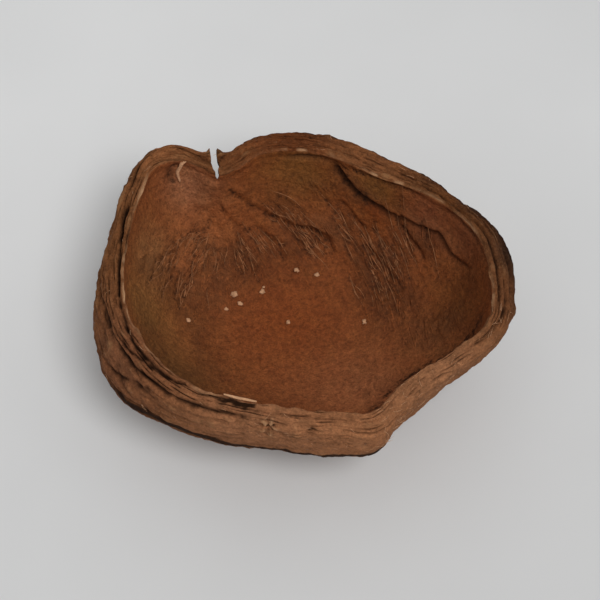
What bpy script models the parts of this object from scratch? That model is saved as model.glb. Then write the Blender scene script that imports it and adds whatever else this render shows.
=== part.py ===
"""Half of a Brazil nut pod: an empty woody shell, open upwards, that rests on a small flat spot.

The pod grew as one piece, so it is one solid. A cube is cut into a fine net and drawn out into
the shell: its top face becomes the floor inside, its sides run up the inner wall, over the
broken rim and down the outside, and its bottom face becomes the underside. The layers of the
husk and the creases of the lining are then raised by formulas, and the slit in the far wall is
cut right through.

Blender's metres, +Z up. Lengths are named in millimetres and turned to metres at the end.
The origin is the middle of the shell's box, at the surface it rests on. +X is the long way, and
the slit is at the back, towards +Y.
"""

import math

import bmesh
import bpy
import numpy as np

MM = 0.001

# Bearings run round the shell in degrees, anticlockwise from +X.
# Each row: bearing, radius of the inner edge, height of the rim, thickness of the rim,
# how far the belly stands out past the rim, and how far the lining lies below the outer layers.
RIM_STATIONS = (
    (0, 55.0, 49.0, 7.5, 0.0, 0.0),
    (16, 54.3, 49.0, 7.9, 0.0, 0.0),
    (32, 51.0, 48.5, 6.7, 0.0, 0.0),
    (46, 47.5, 48.5, 8.0, 0.5, 0.5),
    (60, 45.0, 48.5, 9.0, 1.0, 1.0),
    (78, 46.5, 49.0, 9.5, 1.0, 0.5),
    (95, 49.0, 49.0, 9.5, 1.5, 0.5),
    (108, 50.8, 48.5, 8.0, 1.5, 1.5),
    (118, 50.0, 48.5, 6.8, 1.0, 4.0),
    (125, 52.0, 48.8, 8.5, 1.0, 4.3),
    (130, 60.5, 49.5, 7.5, 1.0, 3.5),
    (137, 64.5, 49.5, 6.8, 1.0, 2.0),
    (148, 61.5, 48.5, 7.0, 1.5, 0.5),
    (163, 57.5, 48.0, 6.8, 3.9, 0.0),
    (178, 56.0, 48.0, 7.2, 4.5, 0.0),
    (194, 54.5, 48.0, 8.0, 6.9, 0.0),
    (210, 52.0, 48.0, 8.7, 6.5, 0.0),
    (226, 49.5, 48.0, 7.0, 3.0, 0.0),
    (244, 45.5, 48.0, 6.8, 1.0, 0.0),
    (262, 43.8, 48.0, 6.2, 0.2, 0.0),
    (280, 45.5, 48.0, 6.3, 1.0, 0.0),
    (292, 48.2, 47.5, 6.5, 0.5, 0.0),
    (302, 45.0, 47.0, 6.0, -0.5, 0.0),
    (312, 44.3, 47.5, 6.1, -1.0, 0.0),
    (328, 48.5, 48.5, 5.0, -2.0, 0.0),
    (344, 55.0, 49.0, 6.0, -1.5, 0.0),
)
EDGE, RIM_TOP, RIM_WIDTH, BELLY, LINING_DROP = range(1, 6)

# The egg-shaped plan that the rim's lobes fade into lower down: its mean radius, how much longer
# than wide it is, how much blunter its right end is, and a skew towards the back.
EGG_RADIUS = 50.5
EGG_STRETCH = 4.5
EGG_BLUNTNESS = 0.8
EGG_SKEW = 1.0
EGG_SKEW_TURN = 0.6
WALL = 8.5
# The egg shape has taken over from the rim's outline at this share of the way in or down.
EGG_WITHIN = 0.25
EGG_BELOW = 0.75

FLOOR_HEIGHT = 7.0
# Powers of the rounded profiles: 2 is an ellipse, and more is squarer.
INNER_PLAN_POWER = 2.5
INNER_DEPTH_POWER = 2.1
OUTER_PLAN_POWER = 2.15
OUTER_DEPTH_POWER = 2.1
# The underside is cut level this far up, which leaves the flat spot that the shell rests on.
FLAT_SINK = 1.2
# The floor and the flat spot lie this far off the middle of the rim, under the weight, and the
# walls straighten out to the rim's own place by this share of the height.
LEAN_X = -6.0
LEAN_Y = 3.6
LEAN_TOP = 0.62

EDGE_ROUND = 0.9
SHOULDER_ROUND = 1.2
RIM_SLOPE = 2.6

# Grooves where the layers of the husk have parted, as bearing and way of each point, with depth and
# half width. A way of 1 to 2 is on the rim, and more than 2 is on the outer wall.
GROOVES = (
    (
        (
            (150, 1.42), (158, 1.44), (167, 1.34), (174, 1.22), (180, 1.18), (187, 1.22), (194, 1.24),
            (199, 1.32), (209, 1.30), (218, 1.32), (222, 1.27), (226, 1.14), (231, 1.10), (238, 1.10),
        ),
        1.5, 0.60,
    ),
    (((188, 1.84), (195, 1.80), (198, 1.63), (204, 1.62), (210, 1.45), (217, 1.42)), 1.0, 0.55),
    (
        (
            (163, 2.04), (173, 2.025), (180, 2.01), (187, 1.925), (193, 1.88), (199, 1.89), (206, 1.75),
            (210, 1.82), (218, 1.77), (226, 1.84), (234, 1.77), (241, 1.72), (252, 1.68),
        ),
        1.5, 0.70,
    ),
    (((190, 2.06), (201, 2.055), (206, 2.045), (213, 2.01), (221, 2.025)), 1.0, 0.80),
    (((172, 2.08), (184, 2.10), (196, 2.095), (206, 2.11), (218, 2.09)), 0.9, 0.90),
    (((212, 2.085), (225, 2.12), (240, 2.14), (255, 2.15), (276, 2.13)), 1.3, 1.10),
    (((228, 1.40), (250, 1.36), (262, 1.34), (280, 1.38), (298, 1.43)), 0.5, 0.60),
    (((330, 1.50), (337, 1.495), (344, 1.49), (349, 1.595), (360, 1.60)), 0.9, 0.55),
    (((346, 1.24), (356, 1.28), (366, 1.26), (378, 1.30), (388, 1.27)), 0.9, 0.55),
    (((350, 1.80), (362, 1.82), (375, 1.78), (390, 1.80), (402, 1.84)), 0.9, 0.55),
    (((42, 1.66), (60, 1.60), (75, 1.64), (90, 1.68), (106, 1.62)), 0.8, 0.60),
    (((124, 1.70), (132, 1.74), (140, 1.70), (152, 1.64)), 1.1, 0.60),
)
GROOVE_FADE = 7.0
# A groove is drawn this much wider on the wall, where the rows of the net lie further apart.
WALL_WIDENING = 2.0
# The way from the shoulder to the middle underneath.
WALL_LENGTH = 100.0
LUMP_HEIGHT = 0.5

# Creases of the lining, as bearing and way of each point, with depth and width, and how far the
# lining stands proud above the crease. A negative depth is a ridge.
CREASES = (
    (
        (
            (83, 0.985), (76, 0.93), (72.5, 0.875), (66, 0.855), (56.5, 0.825), (50, 0.795), (46, 0.81),
            (40, 0.805), (31.5, 0.83), (24.5, 0.79), (17, 0.765),
        ),
        1.6, 2.3, 1.0,
    ),
    (
        (
            (122, 0.91), (118, 0.835), (114.5, 0.755), (107.5, 0.67), (101, 0.63), (94, 0.59), (83.5, 0.59),
            (75.5, 0.56), (66.5, 0.49),
        ),
        1.3, 2.2, 0.7,
    ),
    (((76, 0.78), (73, 0.755), (65, 0.695), (59, 0.66)), 0.7, 2.2, 0.4),
    (((48, 0.76), (44.5, 0.75), (39.5, 0.715), (34, 0.69), (29, 0.665)), 0.8, 2.2, 0.4),
    (((126, 0.84), (125, 0.745), (121, 0.66), (120.5, 0.565), (120.5, 0.49)), 0.6, 2.2, 0.3),
    (((111, 0.63), (109, 0.585), (106, 0.525), (100.5, 0.455), (95, 0.40)), 0.7, 2.2, 0.3),
    (((105, 0.64), (95, 0.55), (86.5, 0.475), (80, 0.42)), 0.6, 2.2, 0.3),
    (((125, 0.955), (127, 0.89), (129, 0.805), (132, 0.75)), -1.1, 2.4, 0.0),
)
PROUD_REACH = 7.0
CREASE_FADE = 0.18

# Wrinkles that fan out over the lining from the foot of the slit and bend towards the near side.
FAN_FOOT = (-29.0, 42.0)
FAN_BEND = 70.0
FAN_NEAR = 12.0
FAN_FAR = 75.0
FAN_WAVES = 11.0
FAN_HEIGHT = 0.25

# The slit's outline, in millimetres across and up from its foot, seen along its own slope.
SLIT_OUTLINE = (
    (0.0, -0.3), (0.5, 0.4), (0.7, 2.2), (1.0, 3.8), (0.5, 5.6), (0.2, 7.6), (0.9, 14.0),
    (-2.4, 14.0), (-1.8, 6.6), (-2.0, 4.3), (-1.1, 2.8), (-0.4, 1.8), (-0.5, 0.6),
)
SLIT_FOOT = (-29.2, 42.4, 41.6)
SLIT_SLOPE = 60.0
SLIT_TURN = 6.0
SLIT_INWARD = 7.0
SLIT_OUTWARD = 30.0

# The net: cells across a face of the cube, and rows of cells up each stretch of its sides.
CELLS_ACROSS = 24
INNER_ROWS = 15
RIM_ROWS = 13
OUTER_ROWS = 14
INNER_CAP = 0.50
OUTER_CAP = 0.42
OUTER_CROWDING = 1.35

SHELL_COLOUR = (0.142, 0.047, 0.019, 1.0)
SHELL_ROUGHNESS = 0.85
SHARP_ANGLE = math.radians(50)


def blend(low, high, value):
    """0 below low, 1 above high, and a smooth step between."""
    share = np.clip((value - low) / (high - low), 0.0, 1.0)
    return share * share * (3.0 - 2.0 * share)


def valley(distance, width):
    """1 on a line and 0 away from it."""
    return np.exp(-((distance / width) ** 2))


def near_bearing(bearing, middle, spread):
    """1 at this bearing and 0 away from it, the short way round."""
    return valley(np.mod(bearing - middle + 180.0, 360.0) - 180.0, spread)


def around(column, bearing):
    """A column of RIM_STATIONS at these bearings, by a smooth closed curve through its rows."""
    rows = np.array(RIM_STATIONS, float)
    at = rows[:, 0]
    value = rows[:, column]
    step = np.diff(np.append(at, at[0] + 360.0))
    slope_after = np.diff(np.append(value, value[0])) / step
    slope_before = np.roll(slope_after, 1)
    step_before = np.roll(step, 1)
    slope = (slope_after * step_before + slope_before * step) / (step + step_before)
    bearing = np.mod(bearing, 360.0)
    index = np.searchsorted(at, bearing, side="right") - 1
    following = (index + 1) % len(at)
    share = (bearing - at[index]) / step[index]
    return (
        value[index] * (1 + 2 * share) * (1 - share) ** 2
        + slope[index] * step[index] * share * (1 - share) ** 2
        + value[following] * share**2 * (3 - 2 * share)
        + slope[following] * step[index] * share**2 * (share - 1)
    )


def wander(bearing, seed):
    """A slow ripple round the shell, between about -1 and 1, that closes on itself."""
    turn = np.radians(bearing)
    draw = np.random.default_rng(seed)
    total = np.zeros_like(turn)
    for waves in (2, 3, 5, 8, 13):
        total += np.sin(waves * turn + draw.uniform(0, 2 * math.pi)) / math.sqrt(waves)
    return total / 1.6


def egg_radius(bearing):
    """The smooth plan that the rim's lobes and folds fade into lower down."""
    turn = np.radians(bearing)
    lobe = EGG_STRETCH * np.cos(2 * turn) - EGG_BLUNTNESS * np.cos(turn)
    return EGG_RADIUS + lobe + EGG_SKEW * np.sin(turn - EGG_SKEW_TURN)


def inner_form(bearing, climb):
    """Radius and height of the inner surface: climb is 0 at the middle of the floor, 1 at the rim."""
    angle = 0.5 * math.pi * climb**1.2
    edge = around(EDGE, bearing)
    egg = egg_radius(bearing)
    radius = egg + (edge - egg) * blend(EGG_WITHIN, 1.0, climb)
    top = around(RIM_TOP, bearing) - around(LINING_DROP, bearing) - EDGE_ROUND
    rise = 1.0 - np.cos(angle) ** (2 / INNER_DEPTH_POWER)
    return radius * np.sin(angle) ** (2 / INNER_PLAN_POWER), FLOOR_HEIGHT + (top - FLOOR_HEIGHT) * rise


def rim_form(bearing, across):
    """Radius and height of the rim: across is 0 at the inner edge, 1 at the outer shoulder."""
    radius = around(EDGE, bearing) + around(RIM_WIDTH, bearing) * across
    lining = around(LINING_DROP, bearing) * (1.0 - blend(0.40, 0.55, across))
    height = around(RIM_TOP, bearing) - lining - RIM_SLOPE * across**2
    height -= EDGE_ROUND * (1.0 - blend(0.0, 0.10, across))
    height -= SHOULDER_ROUND * blend(0.80, 1.0, across)
    return radius, height


def outer_form(bearing, fall):
    """Radius and height of the outside: fall is 0 at the shoulder, 1 at the middle underneath."""
    angle = 0.5 * math.pi * fall**0.9
    shoulder = around(EDGE, bearing) + around(RIM_WIDTH, bearing)
    egg = egg_radius(bearing) + WALL
    plan = egg + (shoulder - egg) * (1.0 - blend(0.0, EGG_BELOW, fall))
    top = around(RIM_TOP, bearing) - RIM_SLOPE - SHOULDER_ROUND
    down = np.sin(angle) ** (2 / OUTER_DEPTH_POWER)
    bulge = around(BELLY, bearing) * np.sin(math.pi * np.clip(down / EGG_BELOW, 0.0, 1.0))
    radius = (plan + bulge) * np.cos(angle) ** (2 / OUTER_PLAN_POWER)
    height = (top + FLAT_SINK) * (1.0 - down) - FLAT_SINK
    return radius, height


def form(bearing, way):
    """The smooth shell in millimetres. way runs 0 to 1 up the inside, to 2 over the rim, to 3 below."""
    inside = inner_form(bearing, np.clip(way, 0.0, 1.0))
    rim = rim_form(bearing, np.clip(way - 1.0, 0.0, 1.0))
    outside = outer_form(bearing, np.clip(way - 2.0, 0.0, 1.0))
    radius = np.select([way < 1.0, way <= 2.0], [inside[0], rim[0]], outside[0])
    height = np.select([way < 1.0, way <= 2.0], [inside[1], rim[1]], outside[1])
    turn = np.radians(bearing)
    top = around(RIM_TOP, bearing)
    lean = 1.0 - blend(0.0, LEAN_TOP, height / top)
    x = radius * np.cos(turn) + LEAN_X * lean
    y = radius * np.sin(turn) + LEAN_Y * lean
    return np.column_stack([x, y, height])


def layer_place(bearing, way):
    """Millimetres outwards from the inner edge of the rim, over the rim and down the wall."""
    over_rim = np.clip(way - 1.0, 0.0, 1.0) * around(RIM_WIDTH, bearing)
    return over_rim + np.clip(way - 2.0, 0.0, 1.0) * WALL_LENGTH


def groove_relief(bearing, way, groove):
    """One gap between two layers, which fades out at both ends."""
    line, depth, width = groove
    at, ways = np.array(line, float).T
    turned = np.mod(bearing - at[0] + 20.0, 360.0) + at[0] - 20.0
    beside = layer_place(bearing, way) - np.interp(turned, at, layer_place(at, ways))
    inside = blend(at[0] - 1.0, at[0] + GROOVE_FADE, turned)
    inside *= 1.0 - blend(at[-1] - GROOVE_FADE, at[-1] + 1.0, turned)
    widening = 1.0 + (WALL_WIDENING - 1.0) * blend(1.95, 2.02, way)
    return -depth * inside * valley(beside, width * widening)


def wall_lumps(bearing, fall):
    """Broad lumps of the outer wall, which fade out towards the flat spot."""
    lumps = LUMP_HEIGHT * wander(bearing + 90.0 * fall, 41) * wander(bearing - 130.0 * fall, 42)
    return lumps * (1.0 - blend(0.45, 0.62, fall))


def crease_relief(points, way, crease):
    """One crease or ridge of the lining, measured from the nearest point of its line."""
    line, depth, width, proud = crease
    stations = np.array(line, float)
    steps = np.linspace(0, len(stations) - 1, 12 * len(stations))
    line_bearing = np.interp(steps, range(len(stations)), stations[:, 0])
    line_way = np.interp(steps, range(len(stations)), stations[:, 1])
    path = form(line_bearing, line_way)
    nearest = np.full(len(points), np.inf)
    place = np.zeros(len(points))
    level = np.zeros(len(points))
    for index, spot in enumerate(path):
        distance = np.linalg.norm(points - spot, axis=1)
        closer = distance < nearest
        nearest[closer] = distance[closer]
        place[closer] = index / (len(path) - 1)
        level[closer] = line_way[index]
    fade = blend(0.0, CREASE_FADE, place) * (1.0 - blend(1.0 - CREASE_FADE, 1.0, place))
    above = blend(-0.01, 0.03, way - level)
    lift = proud * above * valley(nearest, PROUD_REACH)
    return (lift - depth * valley(nearest, width)) * fade


def fan_relief(points):
    """Wrinkles of the lining, on lines that leave the foot of the slit and bend as they go."""
    right = points[:, 0] - FAN_FOOT[0]
    near = FAN_FOOT[1] - points[:, 1]
    reach = np.hypot(right, near)
    lines = np.arctan2(right, near) * np.exp(reach / FAN_BEND)
    strength = blend(0.0, FAN_NEAR, reach) * (1.0 - blend(0.4 * FAN_FAR, FAN_FAR, reach))
    return FAN_HEIGHT * strength * np.sin(FAN_WAVES * lines + np.sin(reach / FAN_NEAR))


def relief(points, bearing, way):
    """How far each point stands out of the smooth shell, in millimetres along its normal."""
    height = np.zeros(len(points))
    lining = way < 1.0
    for crease in CREASES:
        height[lining] += crease_relief(points[lining], way[lining], crease)
    height[lining] += fan_relief(points[lining])
    height[lining] *= 1.0 - blend(0.93, 1.0, way[lining])
    husk = way >= 1.0
    for groove in GROOVES:
        height[husk] += groove_relief(bearing[husk], way[husk], groove)
    wall = way > 2.0
    height[wall] += wall_lumps(bearing[wall], way[wall] - 2.0)
    return height


def net_places(corners):
    """Bearing and way of each point of the cut cube, whose corners lie at -1 and 1."""
    x, y, z = corners.T
    ring = np.maximum(np.abs(x), np.abs(y))
    wide = np.where(ring == 0, 1.0, ring)
    turn = np.select(
        [x >= np.abs(y), -x >= np.abs(y), y > 0],
        [45.0 * y / wide, 180.0 - 45.0 * y / wide, 90.0 - 45.0 * x / wide],
        270.0 + 45.0 * x / wide,
    )
    rows = INNER_ROWS + RIM_ROWS + OUTER_ROWS
    along = (1.0 - z) / 2.0 * rows
    up = INNER_CAP + (1.0 - INNER_CAP) * along / INNER_ROWS
    over = 1.0 + (along - INNER_ROWS) / RIM_ROWS
    share = np.clip((along - INNER_ROWS - RIM_ROWS) / OUTER_ROWS, 0.0, 1.0)
    below = 2.0 + (1.0 - OUTER_CAP) * share**OUTER_CROWDING
    side = np.select([along <= INNER_ROWS, along <= INNER_ROWS + RIM_ROWS], [up, over], below)
    way = np.select([z > 0.999, z < -0.999], [INNER_CAP * ring, 3.0 - OUTER_CAP * ring], side)
    return np.mod(turn, 360.0), way


def cut_cube():
    """A cube from -1 to 1, its level edges cut into CELLS_ACROSS and its upright ones into rows."""
    net = bmesh.new()
    bmesh.ops.create_cube(net, size=2.0)
    level = [edge for edge in net.edges if abs(edge.verts[0].co.z - edge.verts[1].co.z) < 0.1]
    bmesh.ops.subdivide_edges(net, edges=level, cuts=CELLS_ACROSS - 1, use_grid_fill=True)
    upright = [edge for edge in net.edges if abs(edge.verts[0].co.z - edge.verts[1].co.z) > 0.1]
    rows = INNER_ROWS + RIM_ROWS + OUTER_ROWS
    bmesh.ops.subdivide_edges(net, edges=upright, cuts=rows - 1, use_grid_fill=True)
    mesh = bpy.data.meshes.new("pod_half")
    net.to_mesh(mesh)
    net.free()
    return mesh


def read_vectors(mesh, name):
    """One vector of each vertex, such as its place or its normal, as rows of an array."""
    values = np.empty(len(mesh.vertices) * 3, np.float32)
    mesh.vertices.foreach_get(name, values)
    return values.reshape(-1, 3).astype(float)


def write_places(mesh, points):
    """Move the vertices to these places in millimetres."""
    mesh.vertices.foreach_set("co", (points * MM).astype(np.float32).ravel())
    mesh.update()


def shell_material():
    """Dry brown husk: dull, with no shine."""
    material = bpy.data.materials.new("dry_woody_husk")
    material.use_nodes = True
    shader = material.node_tree.nodes["Principled BSDF"]
    shader.inputs["Base Color"].default_value = SHELL_COLOUR
    shader.inputs["Roughness"].default_value = SHELL_ROUGHNESS
    shader.inputs["Metallic"].default_value = 0.0
    return material


def make_shell(collection):
    """The whole half pod, without its slit, and how far it was moved to centre it."""
    mesh = cut_cube()
    bearing, way = net_places(read_vectors(mesh, "co"))
    smooth = form(bearing, way)
    write_places(mesh, smooth)
    points = smooth + read_vectors(mesh, "normal") * relief(smooth, bearing, way)[:, None]
    points[:, 2] = np.maximum(points[:, 2], 0.0)
    centre = (points.min(axis=0) + points.max(axis=0)) / 2
    centre[2] = 0.0
    write_places(mesh, points - centre)
    mesh.shade_smooth()
    mesh.set_sharp_from_angle(angle=SHARP_ANGLE)
    mesh.materials.append(shell_material())
    pod = bpy.data.objects.new("pod_half", mesh)
    collection.objects.link(pod)
    return pod, centre


def make_slit_cutter(collection, centre):
    """A jagged wedge that runs outwards and down through the far wall."""
    slope = math.radians(SLIT_SLOPE)
    turn = math.radians(SLIT_TURN)
    flat = math.cos(slope)
    outward = np.array([-math.sin(turn) * flat, math.cos(turn) * flat, -math.sin(slope)])
    across = np.array([math.cos(turn), math.sin(turn), 0.0])
    up = np.cross(across, outward)
    foot = np.array(SLIT_FOOT) - centre
    wedge = bmesh.new()
    corners = []
    for right, rise in SLIT_OUTLINE:
        place = foot + across * right + up * rise - outward * SLIT_INWARD
        corners.append(wedge.verts.new(place * MM))
    face = wedge.faces.new(corners)
    grown = bmesh.ops.extrude_face_region(wedge, geom=[face])
    far = [item for item in grown["geom"] if isinstance(item, bmesh.types.BMVert)]
    bmesh.ops.translate(wedge, vec=outward * (SLIT_INWARD + SLIT_OUTWARD) * MM, verts=far)
    bmesh.ops.recalc_face_normals(wedge, faces=wedge.faces)
    mesh = bpy.data.meshes.new("slit_cutter")
    wedge.to_mesh(mesh)
    wedge.free()
    cutter = bpy.data.objects.new("slit_cutter", mesh)
    cutter.hide_render = True
    cutter.display_type = "WIRE"
    collection.objects.link(cutter)
    return cutter


def main():
    for old in list(bpy.data.objects):
        bpy.data.objects.remove(old)
    parts = bpy.data.collections.new("brazil_nut_pod")
    cutters = bpy.data.collections.new("cutters")
    bpy.context.scene.collection.children.link(parts)
    bpy.context.scene.collection.children.link(cutters)
    pod, centre = make_shell(parts)
    slit = pod.modifiers.new("slit", "BOOLEAN")
    slit.operation = "DIFFERENCE"
    slit.solver = "EXACT"
    slit.object = make_slit_cutter(cutters, centre)


main()
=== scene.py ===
# %% [markdown]
# # Half of a Brazil nut pod
#
# The real object is a woody seed case, sawn or broken in two and emptied. What is left is a deep
# brown bowl about 13 cm long. This lesson dresses its plain solid in Blender: the thin brown lining
# with its wrinkles and creases, the layered broken rim, and the dull fibrous outside.

# %% Load the plain solid
import math

import bmesh
import bpy
import numpy as np
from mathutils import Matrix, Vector, kdtree


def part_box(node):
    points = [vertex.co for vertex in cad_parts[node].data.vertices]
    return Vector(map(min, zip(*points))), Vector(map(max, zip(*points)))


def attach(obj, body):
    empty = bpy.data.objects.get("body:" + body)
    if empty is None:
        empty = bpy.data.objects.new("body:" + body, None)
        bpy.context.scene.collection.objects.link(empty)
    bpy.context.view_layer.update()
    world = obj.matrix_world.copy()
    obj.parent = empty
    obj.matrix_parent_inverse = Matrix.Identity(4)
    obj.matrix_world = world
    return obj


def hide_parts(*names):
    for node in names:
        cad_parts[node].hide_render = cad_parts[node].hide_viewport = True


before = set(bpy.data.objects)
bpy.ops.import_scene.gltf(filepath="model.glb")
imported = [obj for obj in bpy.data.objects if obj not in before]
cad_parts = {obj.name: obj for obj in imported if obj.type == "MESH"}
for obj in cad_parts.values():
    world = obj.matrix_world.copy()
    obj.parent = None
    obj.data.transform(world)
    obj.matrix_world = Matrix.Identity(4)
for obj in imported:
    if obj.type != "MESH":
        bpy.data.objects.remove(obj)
scene = bpy.context.scene
MM = 0.001
solid_low, solid_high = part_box("pod_half")
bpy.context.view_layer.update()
print("solid, mm:", [round((high - low) / MM, 1) for low, high in zip(solid_low, solid_high)])

# %% [markdown]
# ## The camera
#
# The photograph looks down into the bowl from about 58 degrees above the table, with a long lens.
# It could be placed by eye, but the pod is 421 pixels long in the picture and about 128 mm in life,
# and that gives the distance for a chosen lens.

# %% Place the camera
LENS = 85.0
SENSOR = 36.0
PICTURE_WIDTH = 600
PIXELS_PER_MM = 3.24
VIEW_HEIGHT = math.radians(58)
AIM = Vector((-1.0, -3.6, 35.8)) * MM

distance = LENS / SENSOR * PICTURE_WIDTH / PIXELS_PER_MM * MM
towards_camera = Vector((0.0, -math.cos(VIEW_HEIGHT), math.sin(VIEW_HEIGHT)))
camera_data = bpy.data.cameras.new("camera")
camera_data.lens = LENS
camera_data.sensor_width = SENSOR
camera_data.clip_start = 0.01
camera = bpy.data.objects.new("camera", camera_data)
camera.location = AIM + towards_camera * distance
camera.rotation_euler = (math.radians(90) - VIEW_HEIGHT, 0.0, 0.0)
scene.collection.objects.link(camera)
scene.camera = camera
print("camera distance, mm:", round(distance / MM))

# %% [markdown]
# ## Colours and nodes
#
# Colours are noted as hex values, as a colour picker gives them. Shaders work in linear light, so
# one function turns them. A second one adds a node, its settings and its links in one call.

# %% Turn a hex colour to linear light
def linear(hex_colour):
    """Red, green and blue in linear light, from an sRGB hex value."""
    parts = [int(hex_colour[place : place + 2], 16) / 255 for place in (1, 3, 5)]
    return [part / 12.92 if part <= 0.04045 else ((part + 0.055) / 1.055) ** 2.4 for part in parts]


print("mid brown in linear light:", [round(part, 3) for part in linear("#6f3b21")])


# %% Add a node with its settings and links
def add_node(tree, kind, output, settings=None, **links):
    """Add a shader node and give one output. Links are inputs, as values or sockets."""
    node = tree.nodes.new("ShaderNode" + kind)
    for name, value in (settings or {}).items():
        setattr(node, name, value)
    for name, value in links.items():
        key = int(name[1:]) if name[0] == "i" and name[1:].isdigit() else name
        if isinstance(value, bpy.types.NodeSocket):
            tree.links.new(value, node.inputs[key])
        else:
            node.inputs[key].default_value = value
    return node.outputs[output]


# %% [markdown]
# ## The shape of the shell
#
# A scan or a sculpt would give such a grown form, but nothing could be adjusted later. Here it is a
# rule. Every point has a bearing, its direction from the middle, and a way, which runs from the
# middle of the floor (0) up to the inner edge of the rim (1), over the rim to its outer shoulder
# (2), and down to the middle underneath (3). The rim wanders, so it is noted at 26 bearings.

# %% The stations of the rim
# Bearing, radius of the inner edge, height, width, stand-out of the belly, drop of the lining.
RIM_STATIONS = (
    (0, 55.0, 49.0, 7.5, 0.0, 0.0),
    (16, 54.3, 49.0, 7.9, 0.0, 0.0),
    (32, 51.0, 48.5, 6.7, 0.0, 0.0),
    (46, 47.5, 48.5, 8.0, 0.5, 0.5),
    (60, 45.0, 48.5, 9.0, 1.0, 1.0),
    (78, 46.5, 49.0, 9.5, 1.0, 0.5),
    (95, 49.0, 49.0, 9.5, 1.5, 0.5),
    (108, 50.8, 48.5, 8.0, 1.5, 1.5),
    (118, 50.0, 48.5, 6.8, 1.0, 4.0),
    (125, 52.0, 48.8, 8.5, 1.0, 4.3),
    (130, 60.5, 49.5, 7.5, 1.0, 3.5),
    (137, 64.5, 49.5, 6.8, 1.0, 2.0),
    (148, 61.5, 48.5, 7.0, 1.5, 0.5),
    (163, 57.5, 48.0, 6.8, 3.9, 0.0),
    (178, 56.0, 48.0, 7.2, 4.5, 0.0),
    (194, 54.5, 48.0, 8.0, 6.9, 0.0),
    (210, 52.0, 48.0, 8.7, 6.5, 0.0),
    (226, 49.5, 48.0, 7.0, 3.0, 0.0),
    (244, 45.5, 48.0, 6.8, 1.0, 0.0),
    (262, 43.8, 48.0, 6.2, 0.2, 0.0),
    (280, 45.5, 48.0, 6.3, 1.0, 0.0),
    (292, 48.2, 47.5, 6.5, 0.5, 0.0),
    (302, 45.0, 47.0, 6.0, -0.5, 0.0),
    (312, 44.3, 47.5, 6.1, -1.0, 0.0),
    (328, 48.5, 48.5, 5.0, -2.0, 0.0),
    (344, 55.0, 49.0, 6.0, -1.5, 0.0),
)
EDGE, RIM_TOP, RIM_WIDTH, BELLY, LINING_DROP = range(1, 6)
# Bearings are measured from here, in the solid's own frame.
BEARING_CENTRE = np.array([1.50, -3.50, 0.0])


# %% Small rules that shape everything
def blend(low, high, value):
    """0 below low, 1 above high, and a smooth step between."""
    share = np.clip((value - low) / (high - low), 0.0, 1.0)
    return share * share * (3.0 - 2.0 * share)


def valley(distance, width):
    """1 on a line and 0 away from it."""
    return np.exp(-((distance / width) ** 2))


def near_bearing(bearing, middle, spread):
    """1 at this bearing and 0 away from it, the short way round."""
    return valley(np.mod(bearing - middle + 180.0, 360.0) - 180.0, spread)


def around(column, bearing):
    """A column of RIM_STATIONS at these bearings, by a smooth closed curve through its rows."""
    rows = np.array(RIM_STATIONS, float)
    at = rows[:, 0]
    value = rows[:, column]
    step = np.diff(np.append(at, at[0] + 360.0))
    slope_after = np.diff(np.append(value, value[0])) / step
    slope_before = np.roll(slope_after, 1)
    step_before = np.roll(step, 1)
    slope = (slope_after * step_before + slope_before * step) / (step + step_before)
    bearing = np.mod(bearing, 360.0)
    index = np.searchsorted(at, bearing, side="right") - 1
    following = (index + 1) % len(at)
    share = (bearing - at[index]) / step[index]
    return (
        value[index] * (1 + 2 * share) * (1 - share) ** 2
        + slope[index] * step[index] * share * (1 - share) ** 2
        + value[following] * share**2 * (3 - 2 * share)
        + slope[following] * step[index] * share**2 * (share - 1)
    )


def wander(bearing, seed):
    """A slow ripple round the shell, between about -1 and 1, that closes on itself."""
    turn = np.radians(bearing)
    draw = np.random.default_rng(seed)
    total = np.zeros_like(turn)
    for waves in (2, 3, 5, 8, 13):
        total += np.sin(waves * turn + draw.uniform(0, 2 * math.pi)) / math.sqrt(waves)
    return total / 1.6


print("rim radius to the right and to the back, mm:", around(EDGE, np.array([0.0, 90.0])).round(1))

# %% [markdown]
# ## Inside, rim and outside
#
# The inside and the outside are rounded bowls. Near the rim they follow its lobes, and lower down
# they settle into one egg-shaped plan, as the real pod does: its rim has broken unevenly, while its
# belly grew round. The rim joins them, with a slightly rounded edge on each side.

# %% The smooth form
EGG_RADIUS = 50.5
EGG_STRETCH = 4.5
EGG_BLUNTNESS = 0.8
EGG_SKEW = 1.0
EGG_SKEW_TURN = 0.6
WALL = 8.5
EGG_WITHIN = 0.25
EGG_BELOW = 0.75
FLOOR_HEIGHT = 7.0
INNER_PLAN_POWER = 2.5
INNER_DEPTH_POWER = 2.1
OUTER_PLAN_POWER = 2.15
OUTER_DEPTH_POWER = 2.1
FLAT_SINK = 1.2
LEAN_X = -6.0
LEAN_Y = 3.6
LEAN_TOP = 0.62
EDGE_ROUND = 0.9
SHOULDER_ROUND = 1.2
RIM_SLOPE = 2.6


def egg_radius(bearing):
    """The smooth plan that the rim's lobes and folds fade into lower down."""
    turn = np.radians(bearing)
    lobe = EGG_STRETCH * np.cos(2 * turn) - EGG_BLUNTNESS * np.cos(turn)
    return EGG_RADIUS + lobe + EGG_SKEW * np.sin(turn - EGG_SKEW_TURN)


def inner_form(bearing, climb):
    """Radius and height of the inner surface: climb is 0 at the middle of the floor, 1 at the rim."""
    angle = 0.5 * math.pi * climb**1.2
    egg = egg_radius(bearing)
    radius = egg + (around(EDGE, bearing) - egg) * blend(EGG_WITHIN, 1.0, climb)
    top = around(RIM_TOP, bearing) - around(LINING_DROP, bearing) - EDGE_ROUND
    rise = 1.0 - np.cos(angle) ** (2 / INNER_DEPTH_POWER)
    return radius * np.sin(angle) ** (2 / INNER_PLAN_POWER), FLOOR_HEIGHT + (top - FLOOR_HEIGHT) * rise


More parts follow.
